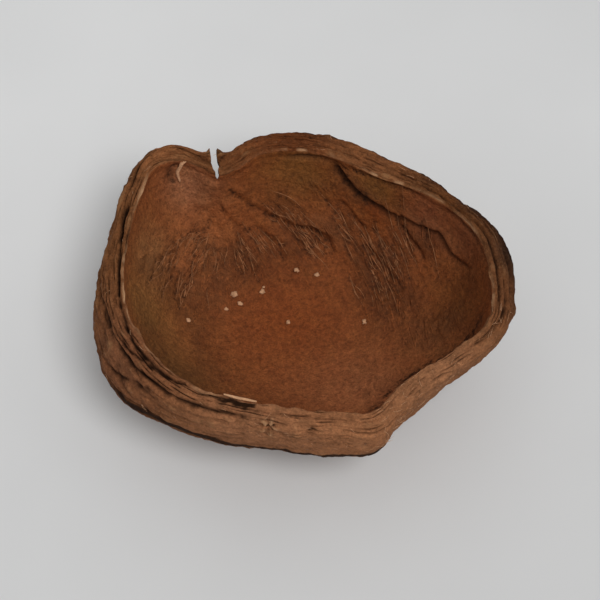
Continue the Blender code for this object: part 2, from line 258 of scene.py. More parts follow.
def rim_form(bearing, across):
    """Radius and height of the rim: across is 0 at the inner edge, 1 at the outer shoulder."""
    radius = around(EDGE, bearing) + around(RIM_WIDTH, bearing) * across
    lining = around(LINING_DROP, bearing) * (1.0 - blend(0.40, 0.55, across))
    height = around(RIM_TOP, bearing) - lining - RIM_SLOPE * across**2
    height -= EDGE_ROUND * (1.0 - blend(0.0, 0.10, across))
    height -= SHOULDER_ROUND * blend(0.80, 1.0, across)
    return radius, height


def outer_form(bearing, fall):
    """Radius and height of the outside: fall is 0 at the shoulder, 1 at the middle underneath."""
    angle = 0.5 * math.pi * fall**0.9
    shoulder = around(EDGE, bearing) + around(RIM_WIDTH, bearing)
    egg = egg_radius(bearing) + WALL
    plan = egg + (shoulder - egg) * (1.0 - blend(0.0, EGG_BELOW, fall))
    top = around(RIM_TOP, bearing) - RIM_SLOPE - SHOULDER_ROUND
    down = np.sin(angle) ** (2 / OUTER_DEPTH_POWER)
    bulge = around(BELLY, bearing) * np.sin(math.pi * np.clip(down / EGG_BELOW, 0.0, 1.0))
    radius = (plan + bulge) * np.cos(angle) ** (2 / OUTER_PLAN_POWER)
    return radius, (top + FLAT_SINK) * (1.0 - down) - FLAT_SINK


def form(bearing, way):
    """The smooth shell in millimetres, in the solid's frame."""
    inside = inner_form(bearing, np.clip(way, 0.0, 1.0))
    rim = rim_form(bearing, np.clip(way - 1.0, 0.0, 1.0))
    outside = outer_form(bearing, np.clip(way - 2.0, 0.0, 1.0))
    radius = np.select([way < 1.0, way <= 2.0], [inside[0], rim[0]], outside[0])
    height = np.select([way < 1.0, way <= 2.0], [inside[1], rim[1]], outside[1])
    turn = np.radians(bearing)
    lean = 1.0 - blend(0.0, LEAN_TOP, height / around(RIM_TOP, bearing))
    x = radius * np.cos(turn) + LEAN_X * lean
    y = radius * np.sin(turn) + LEAN_Y * lean
    return np.column_stack([x, y, height]) + BEARING_CENTRE


print("middle of the floor, mm:", form(np.zeros(1), np.zeros(1)).round(1)[0])

# %% [markdown]
# ## A cube becomes a net
#
# The net has to be closed and even, without poles that pinch, as a round grid has at the middle of
# the floor. So it is a cube: its top becomes the floor, its sides become wall, rim and outside, and
# its bottom the underside. Subdivide fills a face with a grid where all of its edges are cut, and
# with strips where only two are.

# %% Cut a cube into the net
CELLS_ACROSS = 100
BAND_ROWS = (70, 50, 68)
INNER_CAP = 0.50
OUTER_CAP = 0.42
OUTER_CROWDING = 1.35


def cut_edges(piece, cuts, is_cut):
    """Cut those edges of a piece in edit mode for which is_cut is true."""
    net = bmesh.from_edit_mesh(piece.data)
    for edge in net.edges:
        edge.select = is_cut(edge)
    net.select_flush_mode()
    bmesh.update_edit_mesh(piece.data)
    bpy.ops.mesh.subdivide(number_cuts=cuts)


def is_upright(edge, top, bottom):
    """Whether an edge stands between these two heights of the cube."""
    ends = [corner.co.z for corner in edge.verts]
    return abs(ends[0] - ends[1]) > 1e-3 and abs(sum(ends) - top - bottom) < 2e-3


bpy.ops.object.select_all(action="DESELECT")
bpy.ops.mesh.primitive_cube_add(size=2)
shell = bpy.context.object
shell.name = shell.data.name = "pod_shell"
bpy.ops.object.mode_set(mode="EDIT")
bpy.ops.mesh.select_mode(type="EDGE")
cut_edges(shell, CELLS_ACROSS - 1, lambda edge: edge.verts[0].co.z == edge.verts[1].co.z)
cut_edges(shell, len(BAND_ROWS) - 1, lambda edge: is_upright(edge, 1, -1))
for band, rows in enumerate(BAND_ROWS):
    top = 1 - 2 * band / len(BAND_ROWS)
    bottom = top - 2 / len(BAND_ROWS)
    cut_edges(shell, rows - 1, lambda edge: is_upright(edge, top, bottom))
bpy.ops.object.mode_set(mode="OBJECT")
print("net:", len(shell.data.vertices), "points,", len(shell.data.polygons), "faces")


# %% Find each point's bearing and way
def read_vectors(mesh, name):
    """One vector of each vertex, such as its place or its normal, as rows of an array."""
    values = np.empty(len(mesh.vertices) * 3, np.float32)
    mesh.vertices.foreach_get(name, values)
    return values.reshape(-1, 3).astype(float)


def write_places(mesh, points):
    """Move the vertices to these places in millimetres."""
    mesh.vertices.foreach_set("co", (points * MM).astype(np.float32).ravel())
    mesh.update()


def net_places(corners):
    """Bearing and way of each point of the cut cube, whose corners lie at -1 and 1."""
    x, y, z = corners.T
    ring = np.maximum(np.abs(x), np.abs(y))
    wide = np.where(ring == 0, 1.0, ring)
    turn = np.select(
        [x >= np.abs(y), -x >= np.abs(y), y > 0],
        [45.0 * y / wide, 180.0 - 45.0 * y / wide, 90.0 - 45.0 * x / wide],
        270.0 + 45.0 * x / wide,
    )
    along = (1.0 - z) / 2.0 * len(BAND_ROWS)
    up = INNER_CAP + (1.0 - INNER_CAP) * along
    below = 2.0 + (1.0 - OUTER_CAP) * np.clip(along - 2.0, 0.0, 1.0) ** OUTER_CROWDING
    side = np.select([along <= 1.0, along <= 2.0], [up, along], below)
    way = np.select([z > 0.9999, z < -0.9999], [INNER_CAP * ring, 3.0 - OUTER_CAP * ring], side)
    return np.mod(turn, 360.0), way


bearing, way = net_places(read_vectors(shell.data, "co"))
smooth = form(bearing, way)
write_places(shell.data, smooth)
normals = read_vectors(shell.data, "normal")
print("smooth shell, mm:", (smooth.max(axis=0) - smooth.min(axis=0)).round(1))

# %% [markdown]
# ## Noise of a real size
#
# Everything ragged on the shell comes from smooth noise. It could come from textures with a
# Displace modifier, but in code the lumps get a size in millimetres, and a different one for each
# direction: long along the fibres and short across them.

# %% Noise with lumps of a real size
from mathutils import noise

RING = 50.0


def lumps(points, size, seed):
    """Smooth noise of about -1 to 1, with lumps of this size in millimetres, or one for each axis."""
    spots = points / np.array(size, float) + seed * 17.3
    return np.array([noise.noise(spot) for spot in spots])


def ring_points(bearing, level):
    """Points on a ring of the pod's usual radius, at these bearings and levels."""
    turn = np.radians(bearing)
    return np.column_stack([RING * np.cos(turn), RING * np.sin(turn), level])


level_ring = ring_points(bearing, 0.0 * way)
ragged = 0.5 * lumps(level_ring, 9.0, 60) + 0.5 * lumps(level_ring, 2.5, 61)
print("raggedness round the shell:", ragged.min().round(2), "to", ragged.max().round(2))

# %% [markdown]
# ## Grooves between the layers
#
# The husk is made of layers like coarse paper, and they have parted where the pod was opened. The
# deepest gaps run round the rim and down the left wall. They could be scattered by noise, but the
# eye knows a pod by them, so each is a line of a few points: bearing and way, as on the form.

# %% Where the layers have parted
WALL_LENGTH = 100.0
GROOVE_STRAY = 0.8
GROOVE_FADE = 7.0
# Points of bearing and way, then depth and half width in millimetres.
GROOVES = (
    (
        (
            (150, 1.42), (158, 1.44), (167, 1.34), (174, 1.22), (180, 1.18), (187, 1.22), (194, 1.24),
            (199, 1.32), (209, 1.30), (218, 1.32), (222, 1.27), (226, 1.14), (231, 1.10), (238, 1.10),
        ),
        1.9, 0.50,
    ),
    (((188, 1.84), (195, 1.80), (198, 1.63), (204, 1.62), (210, 1.45), (217, 1.42)), 1.3, 0.45),
    (
        (
            (163, 2.04), (173, 2.025), (180, 2.01), (187, 1.925), (193, 1.88), (199, 1.89), (206, 1.75),
            (210, 1.82), (218, 1.77), (226, 1.84), (234, 1.77), (241, 1.72), (252, 1.68),
        ),
        1.9, 0.60,
    ),
    (((190, 2.06), (201, 2.055), (206, 2.045), (213, 2.01), (221, 2.025)), 1.1, 0.60),
    (((172, 2.08), (184, 2.10), (196, 2.095), (206, 2.11), (218, 2.09)), 0.9, 0.90),
    (((212, 2.085), (225, 2.12), (240, 2.14), (255, 2.15), (276, 2.13)), 0.6, 1.10),
    (((228, 1.40), (250, 1.36), (262, 1.34), (280, 1.38), (298, 1.43)), 0.6, 0.50),
    (((234, 1.16), (239, 1.21), (244, 1.22), (251, 1.19)), 2.0, 0.60),
    (((330, 1.50), (337, 1.495), (344, 1.49), (349, 1.595), (360, 1.60)), 1.2, 0.45),
    (((346, 1.24), (356, 1.28), (366, 1.26), (378, 1.30), (388, 1.27)), 1.2, 0.40),
    (((350, 1.80), (362, 1.82), (375, 1.78), (390, 1.80), (402, 1.84)), 1.2, 0.45),
    (((18, 1.24), (30, 1.22), (40, 1.28), (52, 1.25), (62, 1.30), (78, 1.28), (90, 1.34)), 1.1, 0.38),
    (((42, 1.66), (60, 1.60), (75, 1.64), (90, 1.68), (106, 1.62)), 0.9, 0.45),
    (((124, 1.70), (132, 1.74), (140, 1.70), (152, 1.64)), 1.5, 0.45),
)
LOOSE_BEARING = 195.0
LOOSE_SPREAD = 75.0
RUBBED_BEARING = 318.0
RUBBED_SPREAD = 38.0


def layer_place(bearing, way):
    """Millimetres outwards from the inner edge of the rim, over the rim and down the wall."""
    over_rim = np.clip(way - 1.0, 0.0, 1.0) * around(RIM_WIDTH, bearing)
    return over_rim + np.clip(way - 2.0, 0.0, 1.0) * WALL_LENGTH


def looseness(bearing):
    """How far the layers have parted here, from rubbed smooth at about 0.2 to loose at 1."""
    loose = 0.45 + 0.55 * near_bearing(bearing, LOOSE_BEARING, LOOSE_SPREAD)
    return loose * (1.0 - 0.7 * near_bearing(bearing, RUBBED_BEARING, RUBBED_SPREAD))


def groove_relief(bearing, layer, ragged, groove):
    """One gap between two layers, deepest on its line and fading out at both ends."""
    line, depth, width = groove
    at, ways = np.array(line, float).T
    turned = np.mod(bearing - at[0] + 20.0, 360.0) + at[0] - 20.0
    place = np.interp(turned, at, layer_place(at, ways)) + GROOVE_STRAY * ragged
    inside = blend(at[0] - 1.0, at[0] + GROOVE_FADE, turned)
    inside *= 1.0 - blend(at[-1] - GROOVE_FADE, at[-1] + 1.0, turned)
    share = np.clip(0.75 + 0.9 * ragged, 0.15, 1.2)
    return -depth * share * inside * valley(layer - place, width * (0.8 + 0.5 * share))


lining = way < 1.0
rim = (way >= 1.0) & (way <= 2.0)
wall = way > 2.0
husk = ~lining
layer = layer_place(bearing, way)
loose = looseness(bearing)
relief = np.zeros(len(way))
for groove in GROOVES:
    relief[husk] += groove_relief(bearing[husk], layer[husk], ragged[husk], groove)
relief[husk] *= blend(0.0, 0.5, layer[husk])
print("grooves:", len(GROOVES), "as deep as", -relief.min().round(2), "mm")

# %% [markdown]
# ## Torn sheets
#
# From a step away the rim reads as torn paper: thin sheets side by side, each torn off at its own
# height, with open gaps between some of them. Plain noise looks like putty here. So the layers are
# counted off in whole sheets, and each sheet and each gap between two gets its own noise.

# %% Tear the sheets
SHEET_THICKNESS = 0.95
SHEET_HEIGHT = 0.80
GAP_DEPTH = 0.85
GAP_WIDTH = 0.14
WALL_SHEET = 3.4
WALL_SHEET_HEIGHT = 0.55
WALL_GAP_DEPTH = 0.75
WALL_GAP_WIDTH = 0.13


def torn_sheets(bearing, layer, thickness, width, stretch, seed):
    """How high each sheet stands, about -1 to 1, and how open the gap is here, 0 to 1."""
    flat = ring_points(bearing, 0.0 * layer)
    warp = 0.9 * lumps(flat, 16.0 * stretch, seed) + 0.35 * lumps(flat, 4.0 * stretch, seed + 1)
    count = layer / thickness + warp
    sheet = ring_points(bearing, np.floor(count) * 5.3)
    high = lumps(sheet, (7.0 * stretch, 7.0 * stretch, 1.0), seed + 2)
    high += 0.6 * lumps(sheet, (2.0 * stretch, 2.0 * stretch, 1.0), seed + 3)
    between = ring_points(bearing, np.round(count) * 3.7)
    is_open = blend(-0.05, 0.30, lumps(between, (8.0 * stretch, 8.0 * stretch, 1.0), seed + 4))
    gap = valley(count - np.round(count), width) * is_open
    return high, gap


high, gap = torn_sheets(bearing[husk], layer[husk], SHEET_THICKNESS, GAP_WIDTH, 1.0, 1)
on_rim = 1.0 - blend(0.9, 1.15, way[husk] - 1.0)
wide_high, wide_gap = torn_sheets(bearing[husk], layer[husk], WALL_SHEET, WALL_GAP_WIDTH, 1.8, 11)
on_wall = (1.0 - on_rim) * (1.0 - blend(0.22, 0.40, way[husk] - 2.0))
torn = on_rim * (0.45 + 0.55 * loose[husk])
folded = on_wall * blend(0.45, 0.95, loose[husk])
fine = np.zeros(len(way))
open_gap = np.zeros(len(way))
fine[husk] = torn * SHEET_HEIGHT * high + folded * WALL_SHEET_HEIGHT * wide_high
fine[husk] -= torn * GAP_DEPTH * gap + folded * WALL_GAP_DEPTH * wide_gap
fine[husk] *= blend(0.0, 0.9, layer[husk])
open_gap[husk] = np.maximum(torn * gap, folded * wide_gap)
print("torn sheets, mm:", fine.min().round(2), "to", fine.max().round(2))

# %% Lumps, chips and fibres of the husk
CHIP_HEIGHT = 0.65
FIBRE_HEIGHT = 0.20
FIBRE_SIZE = (2.2, 2.2, 0.8)
LUMP_HEIGHT = 0.5
BARK_LUMP = 0.38
BARK_GRAIN = 0.34

strands = ring_points(bearing, layer)
at_edge = np.maximum(valley(way[husk] - 1.0, 0.12), valley(way[husk] - 2.0, 0.20))
fine[husk] += CHIP_HEIGHT * at_edge * lumps(strands[husk] * (1, 1, 0), 3.5, 21)
fine[husk] += FIBRE_HEIGHT * lumps(strands[husk], FIBRE_SIZE, 22)
fine[husk] += BARK_LUMP * lumps(smooth[husk], 7.0, 23) + BARK_GRAIN * lumps(smooth[husk], 1.8, 24)
broad = wander(bearing + 90.0 * (way - 2.0), 41) * wander(bearing - 130.0 * (way - 2.0), 42)
relief[wall] += LUMP_HEIGHT * broad[wall]
near_foot = blend(0.45, 0.62, way - 2.0)
relief[wall] *= 1.0 - near_foot[wall]
fine[wall] *= 1.0 - near_foot[wall]
print("husk in all, mm:", (relief + fine)[husk].min().round(2), "to", (relief + fine)[husk].max().round(2))

# %% [markdown]
# ## A scar and the lips of the slit
#
# Two small marks break the even wall. On the near side a knot has left a star of little cracks
# round a hollow. And where the slit meets the rim, the dry husk has curled up on both of its sides.

# %% Mark the scar and the lips
SCAR_AT = (257.0, 1.93)
SCAR_REACH = 3.8
SCAR_ARMS = 5
SCAR_HEIGHT = 1.0
SLIT_FOOT = np.array([-29.2, 42.4, 41.6]) + BEARING_CENTRE
SLIT_TURN = math.radians(6)
LIP_RISE = 1.5
LIP_REACH = 1.0

scar_middle = form(np.array([SCAR_AT[0]]), np.array([SCAR_AT[1]]))[0]
offset = smooth - scar_middle
scar_distance = np.linalg.norm(offset, axis=1)
scar_turn = np.arctan2(offset[:, 2], offset[:, 0])
star = valley(scar_distance, SCAR_REACH) * np.cos(SCAR_ARMS * scar_turn + 0.8)
star -= 1.2 * valley(scar_distance, 0.9)
fine[husk] += SCAR_HEIGHT * star[husk]
sideways = np.array([math.cos(SLIT_TURN), math.sin(SLIT_TURN), 0.0])
beside_slit = np.abs((smooth - SLIT_FOOT) @ sideways)
on_far_side = near_bearing(bearing, 124.0, 12.0) > 0.1
lips = valley(beside_slit - 1.4, LIP_REACH) * on_far_side
lips *= blend(1.30, 1.75, way) * (1.0 - blend(2.05, 2.12, way))
fine[husk] += LIP_RISE * lips[husk]
print("points of the scar:", int((np.abs(star) > 0.3).sum()), "and of the lips:", int((lips > 0.3).sum()))

# %% [markdown]
# ## Creases of the lining
#
# The lining is a skin that has shrunk as it dried. Two deep creases run along the far wall, where
# the skin above hangs a little over the skin below, so their upper side is steep and their lower
# side soft. Each is again a line of a few points, and the nearest of them gives a point its depth.

# %% Creases and ridges
# Bearing and way of each point, depth, width, and how far the lining stands proud above it.
CREASES = (
    (
        (
            (83, 0.985), (76, 0.93), (72.5, 0.875), (66, 0.855), (56.5, 0.825), (50, 0.795), (46, 0.81),
            (40, 0.805), (31.5, 0.83), (24.5, 0.79), (17, 0.765),
        ),
        1.5, 1.7, 0.8,
    ),
    (((82, 0.97), (75, 0.915), (70, 0.868), (62, 0.838), (54, 0.81)), 1.0, 2.0, 0.3),
    (
        (
            (122, 0.91), (118, 0.835), (114.5, 0.755), (107.5, 0.67), (101, 0.63), (94, 0.59), (83.5, 0.59),
            (75.5, 0.56), (66.5, 0.49),
        ),
        0.9, 1.0, 0.5,
    ),
    (((105, 0.64), (95, 0.55), (86.5, 0.475), (80, 0.42)), 0.5, 0.9, 0.4),
    (((89, 0.58), (81.5, 0.575), (72.5, 0.535), (65, 0.465)), 0.5, 0.9, 0.4),
    (((76, 0.78), (73, 0.755), (65, 0.695), (59, 0.66)), 0.55, 0.9, 0.4),
    (((50, 0.57), (47.5, 0.555), (35.5, 0.52), (32, 0.515)), 0.5, 1.2, 0.3),
    (((48, 0.76), (44.5, 0.75), (39.5, 0.715), (34, 0.69), (29, 0.665)), 1.0, 0.9, 0.4),
    (((24.5, 0.79), (18.5, 0.80), (12.5, 0.84)), 0.8, 1.2, 0.3),
    (((125.5, 0.82), (124.5, 0.745), (121, 0.66), (120.5, 0.565), (120.5, 0.50)), 0.5, 1.2, 0.3),
    (((131, 0.73), (132, 0.71), (136, 0.67), (138.5, 0.645)), 0.45, 1.2, 0.3),
    (((145, 0.70), (146, 0.685), (152.5, 0.635), (156, 0.60)), 0.45, 1.2, 0.2),
    (((130, 0.70), (131.5, 0.66), (137, 0.525), (141, 0.46)), 0.5, 1.2, 0.3),
    (((111, 0.63), (109, 0.585), (106, 0.525), (100.5, 0.455), (95, 0.40)), 0.6, 1.2, 0.3),
    (((98, 0.955), (93, 0.965), (86, 0.98), (79, 0.978), (73.5, 0.955)), 1.2, 0.9, 0.0),
    (((76, 0.975), (66.5, 0.985), (59.5, 0.985), (50, 0.985), (40, 0.98)), 1.0, 0.8, 0.0),
    (
        ((36, 0.98), (24.5, 0.975), (18, 0.975), (11, 0.975), (4.5, 0.97), (-2.5, 0.955), (-6, 0.92)),
        1.2, 1.0, 0.0,
    ),
    (((132, 0.985), (134.2, 0.95), (134.8, 0.915), (134.6, 0.88)), 1.4, 0.9, 0.0),
    (((125, 0.955), (127, 0.89), (129, 0.805), (132, 0.75)), -1.1, 1.8, 0.0),
)
PROUD_REACH = 5.0
CREASE_FADE = 0.15
CREASE_STRAY = 0.6
STEEP_SHARE = 0.45
SOFT_SHARE = 1.35
PINHOLE_AT = (312.0, 0.475)
PINHOLE_REACH = 3.0
PINHOLE_CLOSENESS = 0.6
# A point starts this far from any line of painted shade, in millimetres.
NO_SHADE_LINE = 9.0
# Lines of painted shade, as bearing and way of each point, with how much closer than it is each seems:
# the gap beside the peel, two creases, the lining's undercut edge, and the near right rim's shadow.
SHADE_LINES = (
    (((131.5, 0.995), (134.2, 0.955), (135.0, 0.915), (134.8, 0.875)), 0.45),
    (((80, 0.96), (75, 0.915), (71, 0.868), (66, 0.85), (58, 0.832)), 0.15),
    (((122.5, 0.92), (118, 0.835), (114.5, 0.755), (107.5, 0.67), (100, 0.625)), 0.6),
    # Painted shadow that the near right rim casts on the lining.
    (
        (
            (298, 0.67), (304.5, 0.635), (315.5, 0.58), (327.5, 0.55), (334, 0.58), (339, 0.62), (343, 0.665),
            (346.5, 0.725), (352, 0.82), (358, 0.91),
        ),
        0.19,
    ),
    (((98, 0.965), (86, 0.985), (79, 0.98), (73.5, 0.965), (62, 0.985), (50, 0.985), (40, 0.98)), 0.6),
    (((36, 0.98), (24.5, 0.98), (11, 0.98), (4.5, 0.97), (-2.5, 0.955), (-6, 0.92)), 0.55),
)


def crease_relief(points, way, crease):
    """One crease or ridge of the lining, the distance to its line, and how open the line is."""
    line, depth, width, proud = crease
    stations = np.array(line, float)
    steps = np.linspace(0, len(stations) - 1, 12 * len(stations))
    line_bearing = np.interp(steps, range(len(stations)), stations[:, 0])
    line_way = np.interp(steps, range(len(stations)), stations[:, 1])
    path = form(line_bearing, line_way)
    path += CREASE_STRAY * np.column_stack([lumps(path, 4.0, 70 + axis) for axis in range(3)])
    opening = np.clip(0.15 + 0.55 * depth + 1.5 * lumps(path, 3.0, 75), 0.0, 1.0) * (depth > 0.0)
    nearest = np.full(len(points), np.inf)
    which = np.zeros(len(points), int)
    for index, spot in enumerate(path):
        distance = np.linalg.norm(points - spot, axis=1)
        closer = distance < nearest
        nearest[closer] = distance[closer]
        which[closer] = index
    place = which / (len(path) - 1)
    fade = blend(0.0, CREASE_FADE, place) * (1.0 - blend(1.0 - CREASE_FADE, 1.0, place))
    above = blend(-0.01, 0.02, way - line_way[which])
    share = STEEP_SHARE * above + SOFT_SHARE * (1.0 - above)
    lift = proud * above * valley(nearest, PROUD_REACH)
    return (lift - depth * valley(nearest, width * share)) * fade, nearest, opening[which] * fade


shade_line_distance = np.full(len(way), NO_SHADE_LINE)
shade_line_opening = np.zeros(len(way))


def add_shade_line(where, distance, opening):
    """Keep the distance to the nearest line of painted shade, and how open, so how dark, that one is."""
    closer = (distance < shade_line_distance[where]) & (opening > 0.02)
    nearest_crack, nearest_opening = shade_line_distance[where], shade_line_opening[where]
    nearest_crack[closer] = distance[closer]
    nearest_opening[closer] = opening[closer]
    shade_line_distance[where], shade_line_opening[where] = nearest_crack, nearest_opening


# Each crease is also a line of painted shade for the lining's finish.
for crease in CREASES:
    raised, distance, opening = crease_relief(smooth[lining], way[lining], crease)
    relief[lining] += raised
    add_shade_line(lining, distance, opening)
for line, closeness in SHADE_LINES:
    _, distance, opening = crease_relief(smooth[lining], way[lining], (line, 1.5, 1.0, 0.0))
    add_shade_line(lining, distance * closeness, opening)
# The pinhole gets painted shade too.
pinhole = form(np.array([PINHOLE_AT[0]]), np.array([PINHOLE_AT[1]]))[0]
distance = np.linalg.norm(smooth[lining] - pinhole, axis=1)
add_shade_line(lining, distance * PINHOLE_CLOSENESS, np.where(distance < PINHOLE_REACH, 1.0, 0.0))
print("creases:", len(CREASES), "as deep as", -relief[lining].min().round(2), "mm")

# %% [markdown]
# ## Wrinkles of the lining
#
# Finer wrinkles fan out from the foot of the slit and bend to the right, short and uneven. Noise
# does it on two new coordinates: which line of the fan a point lies on, and how far along it is. A
# little more noise shifts both, so that no wrinkle runs straight.

# %% Fan of wrinkles
FAN_FOOT = np.array([-29.0, 42.0]) + BEARING_CENTRE[:2]
FAN_BEND = 70.0
FAN_NEAR = 12.0
FAN_FAR = 75.0
FAN_WAVES = 11.0
FAN_HEIGHT = 0.16
WRINKLE_HEIGHT = 0.65
WRINKLE_SPACING = 0.115
WRINKLE_LENGTH = 8.0
WRINKLE_STRAY = 1.1


def fan_lines(points):
    """Which of the fanning lines a point lies on, and how far it is from the foot of the slit."""
    right = points[:, 0] - FAN_FOOT[0]
    near = FAN_FOOT[1] - points[:, 1]
    reach = np.hypot(right, near)
    return np.arctan2(right, near) * np.exp(reach / FAN_BEND), reach


def fan_relief(points):
    """Broad wrinkles of the lining, on lines that leave the foot of the slit and bend as they go."""
    lines, reach = fan_lines(points)
    strength = blend(0.0, FAN_NEAR, reach) * (1.0 - blend(0.4 * FAN_FAR, FAN_FAR, reach))
    return FAN_HEIGHT * strength * np.sin(FAN_WAVES * lines + np.sin(reach / FAN_NEAR))


lines, reach = fan_lines(smooth)
relief[lining] += fan_relief(smooth[lining])
stray = WRINKLE_STRAY * lumps(smooth, 7.0, 31)
fan = np.column_stack([lines / WRINKLE_SPACING + stray, reach / WRINKLE_LENGTH + stray, 0.0 * way])
creased = blend(0.22, 0.42, way) * (1.0 - 0.85 * near_bearing(bearing, 255.0, 75.0))
creased *= blend(5.0, 12.0, reach) * (1.0 - blend(0.80, 0.90, way))
creased *= blend(-0.35, 0.25, lumps(smooth, 16.0, 32))
ridges = 1.0 - 2.4 * np.abs(lumps(fan, 1.0, 33))
fine[lining] += (ridges * WRINKLE_HEIGHT * creased)[lining]
print("wrinkled share of the lining:", creased[lining].mean().round(2))

# %% Where the skin has torn into threads
# Number of threads, then their length and sway in millimetres.
TORN_THREADS = 150
THREAD_LENGTHS = (3.0, 12.0)
THREAD_SWAY = 0.7
THREAD_POINTS = 7
TEAR_DEPTH = 0.25
TEAR_WIDTH = 0.45
TEAR_OPENING = 0.55

shares = np.linspace(0.0, 1.0, THREAD_POINTS)
fine_shares = np.linspace(0.0, 1.0, 4 * THREAD_POINTS)
in_fan = (way > 0.40 + 0.10 * lumps(smooth, 9.0, 36)) & (way < 0.74) & (bearing > 25.0) & (bearing < 165.0)
candidates = np.flatnonzero(in_fan & (creased * blend(-0.2, 0.2, lumps(smooth, 5.0, 37)) > 0.25))
draw = np.random.default_rng(11)
thread_paths = []
tear = np.full(len(way), NO_SHADE_LINE)
for start in draw.choice(candidates, TORN_THREADS, replace=False):
    reaches = reach[start] + draw.uniform(*THREAD_LENGTHS) * (shares - 0.5)
    sway = THREAD_SWAY * np.sin(draw.uniform(2.0, 5.0) * shares + draw.uniform(0.0, 6.0))
    angle = lines[start] * np.exp(-reaches / FAN_BEND) + sway / reaches
    path = np.column_stack([FAN_FOOT[0] + reaches * np.sin(angle), FAN_FOOT[1] - reaches * np.cos(angle)])
    thread_paths.append(path)
    dense = np.column_stack([np.interp(fine_shares, shares, path[:, axis]) for axis in (0, 1)])
    off_middle = np.abs(smooth[:, :2] - path[THREAD_POINTS // 2]).max(axis=1)
    close_by = np.flatnonzero(lining & (off_middle < THREAD_LENGTHS[1]))
    apart = np.linalg.norm(smooth[close_by, None, :2] - dense[None], axis=2).min(axis=1)
    tear[close_by] = np.minimum(tear[close_by], apart)
relief[lining] -= TEAR_DEPTH * valley(tear[lining], TEAR_WIDTH)
# Each tear is also a line of painted shade.
add_shade_line(lining, tear[lining] + 0.05, np.full(int(lining.sum()), TEAR_OPENING))
print("torn threads:", len(thread_paths))

# %% Skin of the lining, and its edge
SKIN_LUMP = 0.20
SKIN_GRAIN = 0.20
LIP_DEPTH = 0.5
LIP_WAY = 0.962

fine[lining] += SKIN_LUMP * lumps(smooth[lining], 6.0, 34) + SKIN_GRAIN * lumps(smooth[lining], 1.9, 35)
undercut = valley(way - LIP_WAY, 0.012) * (0.6 + 0.4 * wander(bearing, 51))
fine[lining] -= LIP_DEPTH * undercut[lining]
relief[lining] *= 1.0 - blend(0.975, 1.0, way[lining])
print("lining, mm:", (relief + fine)[lining].min().round(2), "to", (relief + fine)[lining].max().round(2))

# %% Raise it all along the normals
height = relief + fine
places = smooth + normals * height[:, None]
places[:, 2] = np.maximum(places[:, 2], 0.0)
low, high_corner = (np.array(corner) / MM for corner in (solid_low, solid_high))
places = np.clip(places, low, high_corner)
write_places(shell.data, places)
print("shell with its relief, mm:", (places.max(axis=0) - places.min(axis=0)).round(1))

# %% [markdown]
# ## The slit
#
# A short slit runs through the far wall, and the table shows through it. A jagged wedge cuts it:
# the slit's outline, drawn out along its own slope, outwards and down. The exact solver gives up on
# a net this fine. The manifold one, which needs both meshes closed, does it in a moment.

# %% Make the wedge
SLIT_OUTLINE = (
    (0.1, -0.2), (0.6, 0.4), (0.8, 2.0), (0.6, 2.6), (1.2, 3.8), (1.0, 4.6), (0.6, 5.6), (0.5, 7.6),
    (1.1, 14.0), (-1.8, 14.0), (-1.3, 6.6), (-1.5, 5.2), (-1.2, 4.3), (-0.9, 2.8), (-0.3, 1.8), (-0.4, 0.6),
)
SLIT_SLOPE = math.radians(60)
SLIT_INWARD = 7.0
SLIT_OUTWARD = 30.0

outward = np.array([-math.sin(SLIT_TURN), math.cos(SLIT_TURN), 0.0]) * math.cos(SLIT_SLOPE)
outward[2] = -math.sin(SLIT_SLOPE)
upward = np.cross(sideways, outward)
bpy.ops.object.select_all(action="DESELECT")
bpy.ops.mesh.primitive_circle_add(vertices=len(SLIT_OUTLINE), fill_type="NGON")
wedge = bpy.context.object
wedge.name = "slit_wedge"
start = SLIT_FOOT - outward * SLIT_INWARD
write_places(wedge.data, np.array([start + sideways * right + upward * rise for right, rise in SLIT_OUTLINE]))
bpy.ops.object.mode_set(mode="EDIT")
bpy.ops.mesh.select_all(action="SELECT")
bpy.ops.mesh.extrude_region_move(
    TRANSFORM_OT_translate={"value": tuple(outward * (SLIT_INWARD + SLIT_OUTWARD) * MM)}
)
bpy.ops.mesh.select_all(action="SELECT")
bpy.ops.mesh.normals_make_consistent(inside=False)
bpy.ops.object.mode_set(mode="OBJECT")
print("wedge:", len(wedge.data.vertices), "points")

# %% Cut the slit
bpy.ops.object.select_all(action="DESELECT")
bpy.context.view_layer.objects.active = shell
slit = shell.modifiers.new("slit", "BOOLEAN")
slit.operation = "DIFFERENCE"
slit.solver = "MANIFOLD"
slit.object = wedge
bpy.ops.object.modifier_apply(modifier="slit")
bpy.data.objects.remove(wedge)
shell.data.materials.clear()
print("shell with its slit:", len(shell.data.vertices), "points")

# %% [markdown]
# ## What the materials need to know
#
# A material can't see layers or hollows by itself, so each point carries its tint, how deep or how
# proud it lies, which sets the painted shade in hollows, gaps and cracks, and where it is along and
# across the fibres. The cut has added a few points, and these take the values of the nearest old one.

# %% Find the old point nearest each new one
old_places = kdtree.KDTree(len(places))
for index, place in enumerate(places):
    old_places.insert(place, index)
old_places.balance()
origin = np.array([old_places.find(place)[1] for place in read_vectors(shell.data, "co") / MM])
print("points that are new:", len(origin) - len(places))

# %% Tint the shell
LINING_COLOUR = "#864923"
HUSK_COLOUR = "#80502f"
